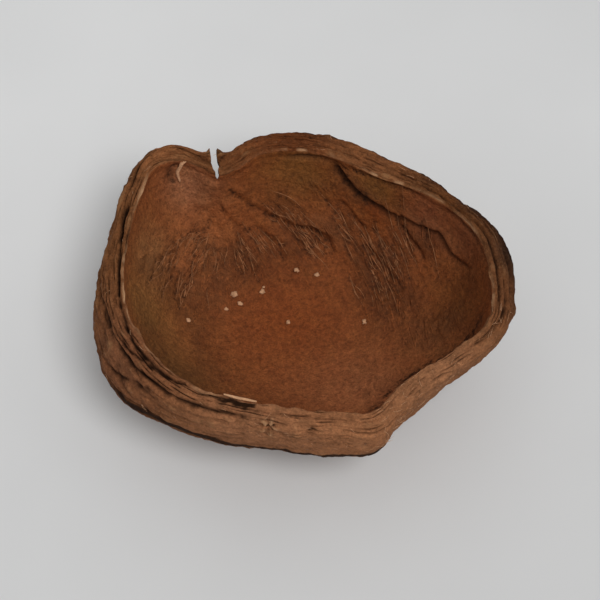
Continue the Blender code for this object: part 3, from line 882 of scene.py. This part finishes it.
# Bearing, way, reach in millimetres and colour of each soft patch.
LINING_TINTS = (
    (178, 0.74, 15.0, "#87592d"),
    (205, 0.62, 16.0, "#744a25"),
    (158, 0.78, 11.0, "#946138"),
    (140, 0.56, 13.0, "#a86337"),
    (305, 0.34, 20.0, "#915430"),
    (316, 0.50, 12.0, "#ba7146"),
    (347, 0.62, 13.0, "#a26036"),
    (100, 0.10, 18.0, "#88461f"),
    (60, 0.92, 9.0, "#774b22"),
    (38, 0.90, 9.0, "#82492b"),
    (20, 0.90, 9.0, "#7c4629"),
    (5, 0.72, 15.0, "#74401b"),
    (130, 0.88, 9.0, "#a06846"),
    (94, 0.90, 12.0, "#825125"),
    # The last two patches are painted shade just below the first crease.
    (60, 0.80, 5.5, "#793b13"),
    (68, 0.86, 3.6, "#5f300f"),
)
HUSK_TINTS = (
    (285, 2.04, 26.0, "#a46c47"),
    (250, 2.04, 26.0, "#a06b49"),
    (322, 1.60, 24.0, "#9e6b49"),
    (205, 2.02, 20.0, "#835337"),
    (165, 1.60, 16.0, "#7a4c2c"),
    (134, 1.60, 12.0, "#96603b"),
    (95, 1.60, 20.0, "#733e20"),
    (62, 1.60, 16.0, "#8e5936"),
    (0, 1.60, 20.0, "#784a2c"),
    (30, 1.60, 18.0, "#734423"),
    # The darker patches from here on are painted shade on the far outer shoulder.
    (352, 2.05, 6.0, "#553321"),
    (6, 2.03, 8.0, "#3d2416"),
    (20, 2.03, 8.0, "#3b2114"),
    (64, 2.02, 5.0, "#53301d"),
    (84, 2.02, 5.0, "#53301d"),
    (10, 1.95, 6.0, "#4d3120"),
    (28, 1.95, 6.0, "#472a19"),
    (45, 1.95, 6.0, "#4d2d1a"),
)


def tinted(points, base, patches):
    """A colour for each point: the base, with soft patches of other colours laid over it."""
    colour = np.tile(np.array(linear(base)), (len(points), 1))
    for patch_bearing, patch_way, patch_reach, patch_colour in patches:
        middle = form(np.array([patch_bearing], float), np.array([patch_way], float))[0]
        share = valley(np.linalg.norm(points - middle, axis=1), patch_reach)[:, None]
        colour += (np.array(linear(patch_colour)) - colour) * share
    return colour


tint = np.where(
    lining[:, None],
    tinted(smooth, LINING_COLOUR, LINING_TINTS),
    tinted(smooth, HUSK_COLOUR, HUSK_TINTS),
)
print("mean tint:", tint.mean(axis=0).round(3))

# %% Find the pale torn edge and its painted highlight
# Bearing, spread and strength of the pale edge: partly the torn skin's own colour, partly a painted highlight.
PALE_EDGE = (
    (148, 5, 1.0), (172, 6, 0.6), (188, 9, 1.0), (205, 10, 0.5), (222, 8, 0.6), (240, 6, 0.9), (93, 5, 0.9),
    (84, 4, 1.0), (61, 5, 0.8), (50, 5, 0.7), (36, 5, 0.5), (20, 6, 0.5), (4, 4, 0.8), (354, 4, 0.9),
)
PALE_BASE = 0.06
PALE_PLACE = 0.20
PALE_WIDTH = 0.36

pale_edge_and_highlight = np.full(len(way), PALE_BASE)
for pale_bearing, pale_spread, pale_strength in PALE_EDGE:
    pale_edge_and_highlight = np.maximum(pale_edge_and_highlight, pale_strength * near_bearing(bearing, pale_bearing, pale_spread))
edge_place = np.where(lining, (way - 1.0) * 40.0, layer) - PALE_PLACE - 0.3 * ragged
pale = pale_edge_and_highlight * valley(edge_place, PALE_WIDTH) * blend(-0.25, 0.2, lumps(strands, (3.0, 3.0, 5.0), 52))
pale[husk] = np.maximum(pale, 0.7 * blend(0.25, 0.7, star) * blend(-0.3, 0.3, lumps(smooth, 1.5, 53)))[husk]
print("pale points:", int((pale > 0.4).sum()))

# %% Store the values on the mesh
FAN_SCALE = 20.0
# Bearing and way of the line where the near wall turns under, with a band of painted shade below it.
UNDER_EDGE = (
    (200, 2.10), (215, 2.10), (225, 2.11), (240, 2.145), (255, 2.182), (270, 2.165), (285, 2.125), (302, 2.11),
)
UNDER_STRAY = 0.004
UNDER_FADE = 10.0
# Bearing, spread, half width and strength of painted shade, nearly black, on the rim's outermost layer.
SHADED_RIMS = (
    (14, 24, 1.5, 0.9), (45, 20, 1.3, 0.85), (80, 22, 1.1, 0.85), (108, 10, 0.8, 0.7), (142, 12, 0.7, 0.6),
)
SPLINTER_MIDDLE = 244.5
ATTRIBUTE_KEYS = {"FLOAT": "value", "FLOAT_COLOR": "color", "FLOAT_VECTOR": "vector"}

fan_place = np.column_stack([reach, lines * FAN_SCALE, np.zeros(len(way))])
# Painted shade at the curled tips of the slit's lips.
lip_tips = valley(beside_slit - 0.8, 0.7) * on_far_side
lip_tips *= blend(1.55, 1.80, way) * (1.0 - blend(2.02, 2.06, way))
under_place = np.interp(bearing, *np.array(UNDER_EDGE, float).T) + UNDER_STRAY * ragged
under_shade = blend(0.0, 0.008, way - under_place) * (1.0 - blend(0.05, 0.09, way - under_place))
under_shade *= blend(UNDER_EDGE[0][0], UNDER_EDGE[0][0] + UNDER_FADE, bearing)
under_shade *= 1.0 - blend(UNDER_EDGE[-1][0] - UNDER_FADE, UNDER_EDGE[-1][0], bearing)
outer_shade = np.zeros(len(way))
for dark_bearing, dark_spread, dark_width, dark_strength in SHADED_RIMS:
    on_shoulder = valley(layer - around(RIM_WIDTH, bearing) - 0.5 * ragged, dark_width)
    on_shoulder *= near_bearing(bearing, dark_bearing, dark_spread)
    outer_shade = np.maximum(outer_shade, dark_strength * on_shoulder)
# Painted shadow under the lifted splinter.
behind_splinter = 1.0 - blend(5.5, 6.5, np.abs(bearing - SPLINTER_MIDDLE))
behind_splinter *= 1.0 - blend(0.50, 0.75, np.abs(layer - 1.15 - 0.5 * ragged))
# Painted shade: darker in grooves, gaps, creases, under the near wall and the splinter, and at the lips.
hollow_shade = np.maximum.reduce(
    [blend(0.2, 1.5, -height), 0.9 * open_gap, 0.9 * lip_tips, under_shade, outer_shade, behind_splinter]
)
hollow_shade[lining] = blend(0.25, 1.8, -height[lining])
for name, kind, values in (
    ("tint", "FLOAT_COLOR", np.column_stack([tint, np.ones(len(way))])),
    ("hollow_shade", "FLOAT", hollow_shade),
    ("crest", "FLOAT", blend(0.15, 0.9, height)),
    ("creased", "FLOAT", creased * lining),
    ("pale", "FLOAT", pale),
    ("shade_line_distance", "FLOAT", shade_line_distance),
    ("shade_line_opening", "FLOAT", shade_line_opening),
    ("grain", "FLOAT_VECTOR", np.where(lining[:, None], fan_place, strands)),
):
    attribute = shell.data.attributes.new(name, kind, "POINT")
    attribute.data.foreach_set(ATTRIBUTE_KEYS[kind], values[origin].astype(np.float32).ravel())
print("attributes:", [item.name for item in shell.data.attributes if not item.name.startswith(".")])

# %% [markdown]
# ## The lining's finish
#
# The lining is the seed case's own skin, a thin woody parchment that dried in place. It is smoother
# than the husk, with a faint dull sheen. Its brown is mottled and pale where a wrinkle has been
# rubbed, with painted shade in its creases, cracks, furrows and hollows and a painted shadow beside
# the near right rim. One colour would look like plastic, so noise of three sizes breaks it up.

# %% Dried lining skin
# Painted shade of the lining's creases, cracks, furrows and hollows.
LINING_SHADE = linear("#2a1406") + [1.0]
LINING_PALE = linear("#b57d52") + [1.0]


def new_material(name):
    """An empty material, its node tree and its Principled shader."""
    material = bpy.data.materials.new(name)
    material.use_nodes = True
    tree = material.node_tree
    return material, tree, tree.nodes["Principled BSDF"]


def paint(tree, shader, colour, tones, layers=()):
    """Multiply a colour by tones and lay others over it, each with its share and strength."""
    for tone in tones:
        colour = add_node(
            tree, "Mix", 2, {"data_type": "RGBA", "blend_type": "MULTIPLY"}, i0=1.0, i6=colour, i7=tone
        )
    for share, strength, over in layers:
        share = add_node(tree, "Math", 0, {"operation": "MULTIPLY"}, i0=share, i1=strength)
        colour = add_node(tree, "Mix", 2, {"data_type": "RGBA"}, i0=share, i6=colour, i7=over)
    tree.links.new(colour, shader.inputs["Base Color"])


# Woody parchment, dried: matt brown, with mottles and threads that the light catches.
skin, tree, shader = new_material("dried_lining_skin")
place = add_node(tree, "TexCoord", "Object")
tint_here, along, creased_here, hollow_shade_here, crest_here, pale_here, shade_line_away, shade_line_open = (
    add_node(tree, "Attribute", output, {"attribute_name": name})
    for name, output in (
        ("tint", "Color"), ("grain", "Vector"), ("creased", "Fac"), ("hollow_shade", "Fac"),
        ("crest", "Fac"), ("pale", "Fac"), ("shade_line_distance", "Fac"), ("shade_line_opening", "Fac"),
    )
)
print("attributes read:", sum(node.type == "ATTRIBUTE" for node in tree.nodes))

# %% Patterns of the lining
# Sizes in millimetres.
BLOTCH_SIZE = 5.0
MOTTLE_SIZE = 1.5
GRAIN_SIZE = 0.6
THREAD_LENGTH = 4.5
THREAD_SPACING = 1.4
# Half width of a shade line's painted dark core and of the painted shade beside it.
SHADE_LINE_CORE = 0.32
SHADE_LINE_SPREAD = 1.1

blotches, mottles, skin_grain = (
    add_node(tree, "TexNoise", "Fac", Vector=place, Scale=1.0 / (size * MM), Detail=detail, Roughness=rough)
    for size, detail, rough in ((BLOTCH_SIZE, 3.0, 0.55), (MOTTLE_SIZE, 4.0, 0.65), (GRAIN_SIZE, 4.0, 0.65))
)
threads_at = add_node(
    tree, "Mapping", "Vector", {"vector_type": "POINT"},
    Vector=along, Scale=(1.0 / THREAD_LENGTH, 1.0 / THREAD_SPACING, 1.0),
)
threads = add_node(
    tree, "TexNoise", "Fac", {"noise_type": "RIDGED_MULTIFRACTAL", "normalize": True},
    Vector=threads_at, Scale=1.0, Detail=1.0, Roughness=0.5, Distortion=1.3,
)
print("patterns:", sum(node.type == "TEX_NOISE" for node in tree.nodes))

# %% Colour and relief of the lining
tones = [
    add_node(tree, "MapRange", 0, i0=pattern, i1=0.3, i2=0.7, i3=1.0 - swing, i4=1.0 + swing)
    for pattern, swing in ((blotches, 0.12), (mottles, 0.32), (skin_grain, 0.28))
]
redder, greener = (1.07, 0.96, 0.94, 1.0), (0.93, 1.04, 1.05, 1.0)
tones.append(add_node(tree, "Mix", 2, {"data_type": "RGBA"}, i0=blotches, i6=redder, i7=greener))
thread_share = add_node(tree, "MapRange", 0, i0=threads, i1=0.68, i2=0.84, i3=0.0, i4=0.60)
# Painted shade in the furrows between the threads.
furrow_shade = add_node(tree, "MapRange", 0, i0=threads, i1=0.30, i2=0.10, i3=0.0, i4=0.45)
ragged_away = add_node(tree, "Math", 0, {"operation": "MULTIPLY_ADD"}, i0=mottles, i1=1.6, i2=shade_line_away)
shade_line_core = add_node(tree, "MapRange", 0, i0=ragged_away, i1=0.8 + SHADE_LINE_CORE, i2=0.75, i3=0.0, i4=0.95)
shade = add_node(tree, "MapRange", 0, i0=ragged_away, i1=0.8 + SHADE_LINE_SPREAD, i2=0.8, i3=0.0, i4=0.4)
# The pale edge is partly the torn skin's own colour and partly a painted highlight.
layers = (
    (thread_share, creased_here, LINING_PALE),
    (crest_here, 0.10, LINING_PALE),
    (furrow_shade, creased_here, LINING_SHADE),
    (hollow_shade_here, 0.7, LINING_SHADE),
    (shade, shade_line_open, LINING_SHADE),
    (shade_line_core, shade_line_open, LINING_SHADE),
    (pale_here, 1.0, LINING_PALE),
)
paint(tree, shader, tint_here, tones, layers)
dullness = add_node(tree, "MapRange", 0, i0=mottles, i1=0.3, i2=0.7, i3=0.78, i4=0.62)
tree.links.new(dullness, shader.inputs["Roughness"])
shader.inputs["Specular IOR Level"].default_value = 0.2
bump = add_node(tree, "Bump", 0, Strength=0.8, Distance=0.55 * MM, Height=skin_grain)
bump = add_node(tree, "Bump", 0, Strength=0.9, Distance=0.75 * MM, Height=mottles, Normal=bump)
bump = add_node(tree, "Bump", 0, Strength=creased_here, Distance=0.8 * MM, Height=threads, Normal=bump)
tree.links.new(bump, shader.inputs["Normal"])
shell.data.materials.append(skin)
print("nodes in the lining's finish:", len(tree.nodes))

# %% [markdown]
# ## The husk's finish
#
# Rim and outside are bare, dry bast fibre, like coarse cardboard, torn by hand. It is dead matt and
# paler where it is rubbed. Painted shade makes it nearly black between the sheets, in its grooves,
# under the near wall, behind the splinter and on the far outer shoulder. The streaks follow the layers.

# %% Dry fibrous husk
# The dark streaks are the fibre's own colour; in hollows the same colour is painted shade.
HUSK_DARK_AND_SHADE = linear("#1c0d05") + [1.0]
HUSK_PALE = linear("#b1865c") + [1.0]
# Pale torn edges: partly their own colour, partly a painted highlight.
EDGE_PALE = linear("#cfa077") + [1.0]

# Bast fibre, torn and weathered: no sheen at all, streaked along the layers.
husk_finish, tree, shader = new_material("dry_fibrous_husk")
place = add_node(tree, "TexCoord", "Object")
tint_here, along, hollow_shade_here, crest_here, pale_here = (
    add_node(tree, "Attribute", output, {"attribute_name": name})
    for name, output in (
        ("tint", "Color"), ("grain", "Vector"), ("hollow_shade", "Fac"), ("crest", "Fac"), ("pale", "Fac"),
    )
)
print("attributes read:", sum(node.type == "ATTRIBUTE" for node in tree.nodes))

# %% Patterns of the husk
STREAK_LENGTH = 1.7
STREAK_SPACING = 0.60
CRUMB_SIZE = 0.9
PATCH_SIZE = 4.0

streaks_at = add_node(
    tree, "Mapping", "Vector", {"vector_type": "POINT"},
    Vector=along, Scale=(1.0 / STREAK_LENGTH, 1.0 / STREAK_LENGTH, 1.0 / STREAK_SPACING),
)
streaks = add_node(
    tree, "TexNoise", "Fac", Vector=streaks_at, Scale=1.0, Detail=4.0, Roughness=0.65, Distortion=2.2
)
crumbs, patches = (
    add_node(tree, "TexNoise", "Fac", Vector=place, Scale=1.0 / (size * MM), Detail=detail, Roughness=rough)
    for size, detail, rough in ((CRUMB_SIZE, 5.0, 0.7), (PATCH_SIZE, 3.0, 0.6))
)
print("patterns:", sum(node.type == "TEX_NOISE" for node in tree.nodes))

# %% Colour and relief of the husk
tones = [
    add_node(tree, "MapRange", 0, i0=pattern, i1=0.3, i2=0.7, i3=1.0 - swing, i4=1.0 + swing)
    for pattern, swing in ((patches, 0.20), (crumbs, 0.38))
]
dark_streaks = add_node(tree, "MapRange", 0, i0=streaks, i1=0.42, i2=0.26, i3=0.0, i4=0.42)
pale_streaks = add_node(tree, "MapRange", 0, i0=streaks, i1=0.56, i2=0.78, i3=0.0, i4=0.45)
layers = (
    (dark_streaks, 1.0, HUSK_DARK_AND_SHADE),
    (pale_streaks, 1.0, HUSK_PALE),
    (crest_here, 0.35, HUSK_PALE),
    (hollow_shade_here, 0.92, HUSK_DARK_AND_SHADE),
    (pale_here, 1.0, EDGE_PALE),
)
paint(tree, shader, tint_here, tones, layers)
shader.inputs["Roughness"].default_value = 0.95
shader.inputs["Specular IOR Level"].default_value = 0.1
bump = add_node(tree, "Bump", 0, Strength=0.9, Distance=0.5 * MM, Height=crumbs)
bump = add_node(tree, "Bump", 0, Strength=0.9, Distance=0.6 * MM, Height=streaks, Normal=bump)
tree.links.new(bump, shader.inputs["Normal"])
shell.data.materials.append(husk_finish)
print("nodes in the husk's finish:", len(tree.nodes))

# %% Give each face its finish
LINING_ENDS = 1.005

corner_way = way[origin]
face_is_husk = [
    max(corner_way[corner] for corner in face.vertices) > LINING_ENDS for face in shell.data.polygons
]
shell.data.polygons.foreach_set("material_index", np.array(face_is_husk, np.int32))
shell.data.shade_smooth()
shell.data.set_sharp_from_angle(angle=math.radians(60))
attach(shell, "root")
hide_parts("pod_half")
print("faces of husk:", sum(face_is_husk), "of", len(face_is_husk))

# %% [markdown]
# ## Loose bits
#
# Small things make it real: a curled peel beside the slit, a lifted splinter on the near edge,
# crumbs on the lining, and stray fibres on the broken rim. All are of the same pale torn bast, so
# they share one finish. Each starts as a primitive, and its points are then moved by a short rule.

# %% Pale torn bast
def flecked_finish(name, hex_colour, size, detail, spread, swing):
    """A finish of one colour, broken up by flecks of this size in millimetres."""
    finish, tree, shader = new_material(name)
    place = add_node(tree, "TexCoord", "Object")
    flecks = add_node(
        tree, "TexNoise", "Fac", Vector=place, Scale=1.0 / (size * MM), Detail=detail, Roughness=0.6
    )
    tone = add_node(
        tree, "MapRange", 0, i0=flecks, i1=0.5 - spread, i2=0.5 + spread, i3=1.0 - swing, i4=1.0 + swing
    )
    paint(tree, shader, linear(hex_colour) + [1.0], [tone])
    return finish, tree, shader, flecks


# Fresh torn bast: paler than the husk, matt, with fine streaks.
bast, tree, shader, flecks = flecked_finish("pale_torn_bast", "#cc9c76", 0.6, 4.0, 0.2, 0.25)
shader.inputs["Roughness"].default_value = 0.9
shader.inputs["Specular IOR Level"].default_value = 0.15
bump = add_node(tree, "Bump", 0, Strength=0.6, Distance=0.2 * MM, Height=flecks)
tree.links.new(bump, shader.inputs["Normal"])
print("nodes in the bast's finish:", len(tree.nodes))


# %% Finish a loose bit
def finish_bit(bit, name, finish=bast):
    """Name a loose bit, give it its finish, and let it go with the shell."""
    bit.name = bit.data.name = name
    bit.data.materials.append(finish)
    bit.data.shade_smooth()
    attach(bit, "root")
    print(name + ":", len(bit.data.polygons), "faces")


def join_bits(bits, name, finish=bast):
    """Join loose bits into one object and give it its finish."""
    bpy.ops.object.select_all(action="DESELECT")
    for bit in bits:
        bit.select_set(True)
    bpy.context.view_layer.objects.active = bits[0]
    bpy.ops.object.join()
    finish_bit(bits[0], name, finish)


def thicken(sheet, thickness):
    """Give the active sheet this thickness in millimetres."""
    solid = sheet.modifiers.new("thickness", "SOLIDIFY")
    solid.thickness = thickness * MM
    bpy.ops.object.modifier_apply(modifier="thickness")


def on_shell(at_bearing, at_way):
    """The nearest point of the finished shell, and which way it faces, in millimetres."""
    spot = form(np.array([at_bearing], float), np.array([at_way], float))[0]
    _, index, _ = old_places.find(spot)
    return places[index], normals[index]


print("middle of the floor lies at", on_shell(0.0, 0.0)[0].round(1))

# %% Curled peel
# A flap of the lining whose left edge has lifted and curled to the right. u runs down its root,
# which is bent like a bracket, and v from the root round the curl to the torn edge.
PEEL_ROOT = ((130.4, 1.0), (131.5, 0.985), (133.0, 0.94), (133.8, 0.915), (133.4, 0.888))
PEEL_RADIUS = 0.68
PEEL_TURN = math.radians(190)
PEEL_STEPS = 14

bpy.ops.object.select_all(action="DESELECT")
bpy.ops.mesh.primitive_grid_add(x_subdivisions=PEEL_STEPS, y_subdivisions=PEEL_STEPS, size=1)
peel = bpy.context.object
root = np.array([on_shell(*station)[0] for station in PEEL_ROOT])
_, facing = on_shell(*PEEL_ROOT[2])
down = (root[-1] - root[0]) / np.linalg.norm(root[-1] - root[0])
rightwards = np.cross(down, facing)
rightwards *= np.sign(rightwards[0])
corners = read_vectors(peel.data, "co")
u, v = corners[:, 0] + 0.5, corners[:, 1] + 0.5
steps = u * (len(root) - 1)
along_root = np.column_stack([np.interp(steps, range(len(root)), root[:, axis]) for axis in range(3)])
radius = PEEL_RADIUS * np.sin(math.pi * np.clip(0.12 + 0.76 * u, 0, 1)) ** 0.5
angle = PEEL_TURN * v
points = along_root + np.outer(radius * np.sin(angle) * 1.5, facing)
points += np.outer(radius * (1.0 - np.cos(angle)), rightwards)
points += 0.2 * np.column_stack([lumps(points, 2.0, 80 + axis) for axis in range(3)])
write_places(peel.data, points)
thicken(peel, 0.3)
finish_bit(peel, "curled_peel")

# %% Lifted splinter
# A long thin sliver of the rim's inner edge, pointed at both ends, that has come loose.
SPLINTER_BEARINGS = (238.5, 250.5)
SPLINTER_WIDTH = 0.75
SPLINTER_LIFT = 0.9
SPLINTER_STEPS = 26

bpy.ops.object.select_all(action="DESELECT")
bpy.ops.mesh.primitive_grid_add(x_subdivisions=SPLINTER_STEPS, y_subdivisions=3, size=1)
splinter = bpy.context.object
corners = read_vectors(splinter.data, "co")
u, v = corners[:, 0] + 0.5, corners[:, 1]
at = SPLINTER_BEARINGS[0] + (SPLINTER_BEARINGS[1] - SPLINTER_BEARINGS[0]) * u
width = SPLINTER_WIDTH * np.sin(math.pi * np.clip(u, 0.02, 0.98)) ** 0.6
outwards = np.column_stack([np.cos(np.radians(at)), np.sin(np.radians(at)), np.zeros(len(at))])
points = form(at, np.full(len(at), 1.0)) + outwards * (v * width + 0.1)[:, None]
points[:, 2] += SPLINTER_LIFT + 0.5 * v * width + 0.25 * lumps(points, 3.0, 83)
write_places(splinter.data, np.clip(points, low, high_corner - 0.5))
thicken(splinter, 0.45)
finish_bit(splinter, "lifted_splinter")

# %% Crumbs on the lining
# Bearing, way and size of each crumb in millimetres.
CRUMBS = (
    (142, 0.315, 2.2), (144.5, 0.27, 1.6), (121.5, 0.265, 1.9), (156.5, 0.30, 1.3), (173.5, 0.45, 1.4),
    (88.5, 0.36, 1.7), (72, 0.35, 1.5), (102.5, 0.08, 1.4), (11.5, 0.295, 1.7), (118, 0.29, 0.9),
)
CRUMB_RAGS = 0.9

bits = []
for seed, (crumb_bearing, crumb_way, size) in enumerate(CRUMBS):
    spot, facing = on_shell(crumb_bearing, crumb_way)
    bpy.ops.object.select_all(action="DESELECT")
    bpy.ops.mesh.primitive_ico_sphere_add(subdivisions=2, radius=size / 2 * MM)
    crumb = bpy.context.object
    corners = read_vectors(crumb.data, "co") / MM
    corners *= (1.0 + CRUMB_RAGS * lumps(corners, size / 2.5, 90 + seed))[:, None]
    corners[:, 2] *= 0.6
    write_places(crumb.data, corners + spot + facing * size * 0.2)
    bits.append(crumb)
join_bits(bits, "crumbs")

# %% One stray fibre
# A thin four-sided strand along X, one unit long, which is copied and bent for each place.
FIBRE_STEPS = 5

bpy.ops.object.select_all(action="DESELECT")
bpy.ops.mesh.primitive_cylinder_add(
    vertices=4, radius=0.5, depth=1, location=(0.5, 0, 0), rotation=(0, math.radians(90), 0)
)
fibre = bpy.context.object
bpy.ops.object.transform_apply(location=True, rotation=True, scale=True)
bpy.ops.object.mode_set(mode="EDIT")
bpy.ops.mesh.select_mode(type="EDGE")
cut_edges(fibre, FIBRE_STEPS, lambda edge: abs(edge.verts[0].co.x - edge.verts[1].co.x) > 0.5)
bpy.ops.object.mode_set(mode="OBJECT")
strand_corners = read_vectors(fibre.data, "co")
print("one fibre:", len(strand_corners), "points")

# %% Scatter the fibres
FIBRES = 150
FIBRE_WIDTH = 0.12
draw = np.random.default_rng(7)


def place_fibre(at_bearing, at_way, length, lift, heading):
    """The strand's points, laid along the shell and bent up a little from it."""
    spot, facing = on_shell(at_bearing, at_way)
    turn = math.radians(at_bearing)
    along_ring = np.array([-math.sin(turn), math.cos(turn), 0.0])
    across_ring = np.cross(facing, along_ring)
    forward = along_ring * math.cos(heading) + across_ring * math.sin(heading)
    beside = np.cross(facing, forward)
    share = strand_corners[:, 0]
    width = FIBRE_WIDTH * (1.0 - 0.6 * share)
    bend = np.sin(3.0 * share + heading * 5.0) - math.sin(heading * 5.0)
    points = spot + np.outer(length * share, forward) + np.outer(0.12 * length * bend, beside)
    points += np.outer(strand_corners[:, 1] * width, beside)
    return points + np.outer(strand_corners[:, 2] * width + lift * share * (1.2 - share) + 0.05, facing)


def copy_strand(points):
    """One more strand with its own mesh, its points laid here."""
    copy = bpy.data.objects.new("fibre", fibre.data.copy())
    write_places(copy.data, np.clip(points, low, high_corner))
    scene.collection.objects.link(copy)
    return copy


strands_placed = []
for _ in range(FIBRES):
    near_side = draw.random() < 0.55
    fibre_bearing = draw.uniform(285, 352) if near_side else draw.uniform(-10, 285)
    fibre_way = draw.choice([draw.uniform(1.03, 1.95), draw.uniform(2.0, 2.10)])
    points = place_fibre(
        fibre_bearing % 360.0, fibre_way, draw.uniform(1.0, 3.2), draw.uniform(0.1, 0.7), draw.normal(0.0, 0.6)
    )
    strands_placed.append(copy_strand(points))
join_bits(strands_placed, "stray_fibres")

# %% Torn skin
# The lining's own skin, torn to threads: a shade paler than the lining, for it has been rubbed.
torn_skin, tree, shader, _ = flecked_finish("torn_lining_skin", "#91603e", 2.5, 2.0, 0.15, 0.4)
shader.inputs["Roughness"].default_value = 0.8
shader.inputs["Specular IOR Level"].default_value = 0.2
print("nodes in the torn skin's finish:", len(tree.nodes))

# %% Lay the torn threads beside their tears
TORN_WIDTH = 0.36
TORN_ASIDE = 0.36
TORN_LIFT = -0.06
ABOVE_SHELL = 0.06


def lay_thread(path):
    """The strand's points, laid on the lining along this path and just beside its tear."""
    share = strand_corners[:, 0]
    at = np.column_stack([np.interp(share, shares, path[:, axis]) for axis in (0, 1)])
    forward = (path[-1] - path[0]) / np.linalg.norm(path[-1] - path[0])
    beside = np.array([forward[1], -forward[0]])
    at -= TORN_ASIDE * beside
    level = np.zeros(len(at))
    for index, (x, y) in enumerate(at * MM):
        hit, spot, _, _ = shell.ray_cast(Vector((x, y, ABOVE_SHELL)), Vector((0.0, 0.0, -1.0)))
        level[index] = spot.z / MM if hit else 0.0
    width = TORN_WIDTH * np.sin(math.pi * np.clip(share, 0.08, 0.92))
    at += np.outer(strand_corners[:, 1] * width, beside)
    return np.column_stack([at, level + strand_corners[:, 2] * width + TORN_LIFT])


bpy.context.view_layer.update()
join_bits([copy_strand(lay_thread(path)) for path in thread_paths], "torn_threads", torn_skin)
bpy.data.objects.remove(fibre)

# %% [markdown]
# ## Table and light
#
# A plain pale table and soft light. A pale sky gives most of it, and one large lamp high up and a
# little to the right gives the rest, as the faint shadow to the left of the pod shows. The table's
# colour is painted slightly darker towards the viewer and towards the right, as painted shade.

# %% The table
TABLE_COLOUR = linear("#ededed") + [1.0]
TABLE_NEAR_SHADE = 0.81
TABLE_FAR = 0.10
TABLE_NEAR = -0.11
TABLE_RIGHT_SHADE = 0.90
TABLE_LEFT = -0.08
TABLE_RIGHT = 0.10

bpy.ops.object.select_all(action="DESELECT")
bpy.ops.mesh.primitive_plane_add(size=6.0)
table = bpy.context.object
table.name = "table"
# Laminate board, pressed smooth: white, with a faint cloudiness and no gloss to speak of.
surface, tree, shader = new_material("matt_white_laminate")
place = add_node(tree, "TexCoord", "Object")
cloud = add_node(tree, "TexNoise", "Fac", Vector=place, Scale=1.0 / 0.06, Detail=2.0)
across = add_node(tree, "SeparateXYZ", "X", Vector=place)
away = add_node(tree, "SeparateXYZ", "Y", Vector=place)
# Painted shade: the table darkens towards the viewer and towards the right.
tones = [
    add_node(tree, "MapRange", 0, i0=pattern, i1=start, i2=end, i3=first, i4=last)
    for pattern, start, end, first, last in (
        (cloud, 0.3, 0.7, 0.985, 1.015),
        (away, TABLE_FAR, TABLE_NEAR, 1.0, TABLE_NEAR_SHADE),
        (across, TABLE_LEFT, TABLE_RIGHT, 1.0, TABLE_RIGHT_SHADE),
    )
]
paint(tree, shader, TABLE_COLOUR, tones)
shader.inputs["Roughness"].default_value = 0.6
table.data.materials.append(surface)
print("nodes in the table's finish:", len(tree.nodes))

# %% The light
SKY_STRENGTH = 0.54
LAMP_POWER = 4.2
LAMP_SIZE = 0.42
LAMP_PLACE = (0.27, -0.42, 0.87)

world = bpy.data.worlds.new("pale_sky")
scene.world = world
world.use_nodes = True
sky = world.node_tree.nodes["Background"]
sky.inputs["Color"].default_value = linear("#f5f6f6") + [1.0]
sky.inputs["Strength"].default_value = SKY_STRENGTH
lamp_data = bpy.data.lights.new("soft_lamp", "AREA")
lamp_data.shape = "DISK"
lamp_data.size = LAMP_SIZE
lamp_data.energy = LAMP_POWER
lamp = bpy.data.objects.new("soft_lamp", lamp_data)
lamp.location = LAMP_PLACE
lamp.rotation_euler = (Vector((0, 0, 0.02)) - lamp.location).to_track_quat("-Z", "Y").to_euler()
scene.collection.objects.link(lamp)
scene.view_settings.view_transform = "Standard"
print("lamp distance, m:", round(lamp.location.length, 2))
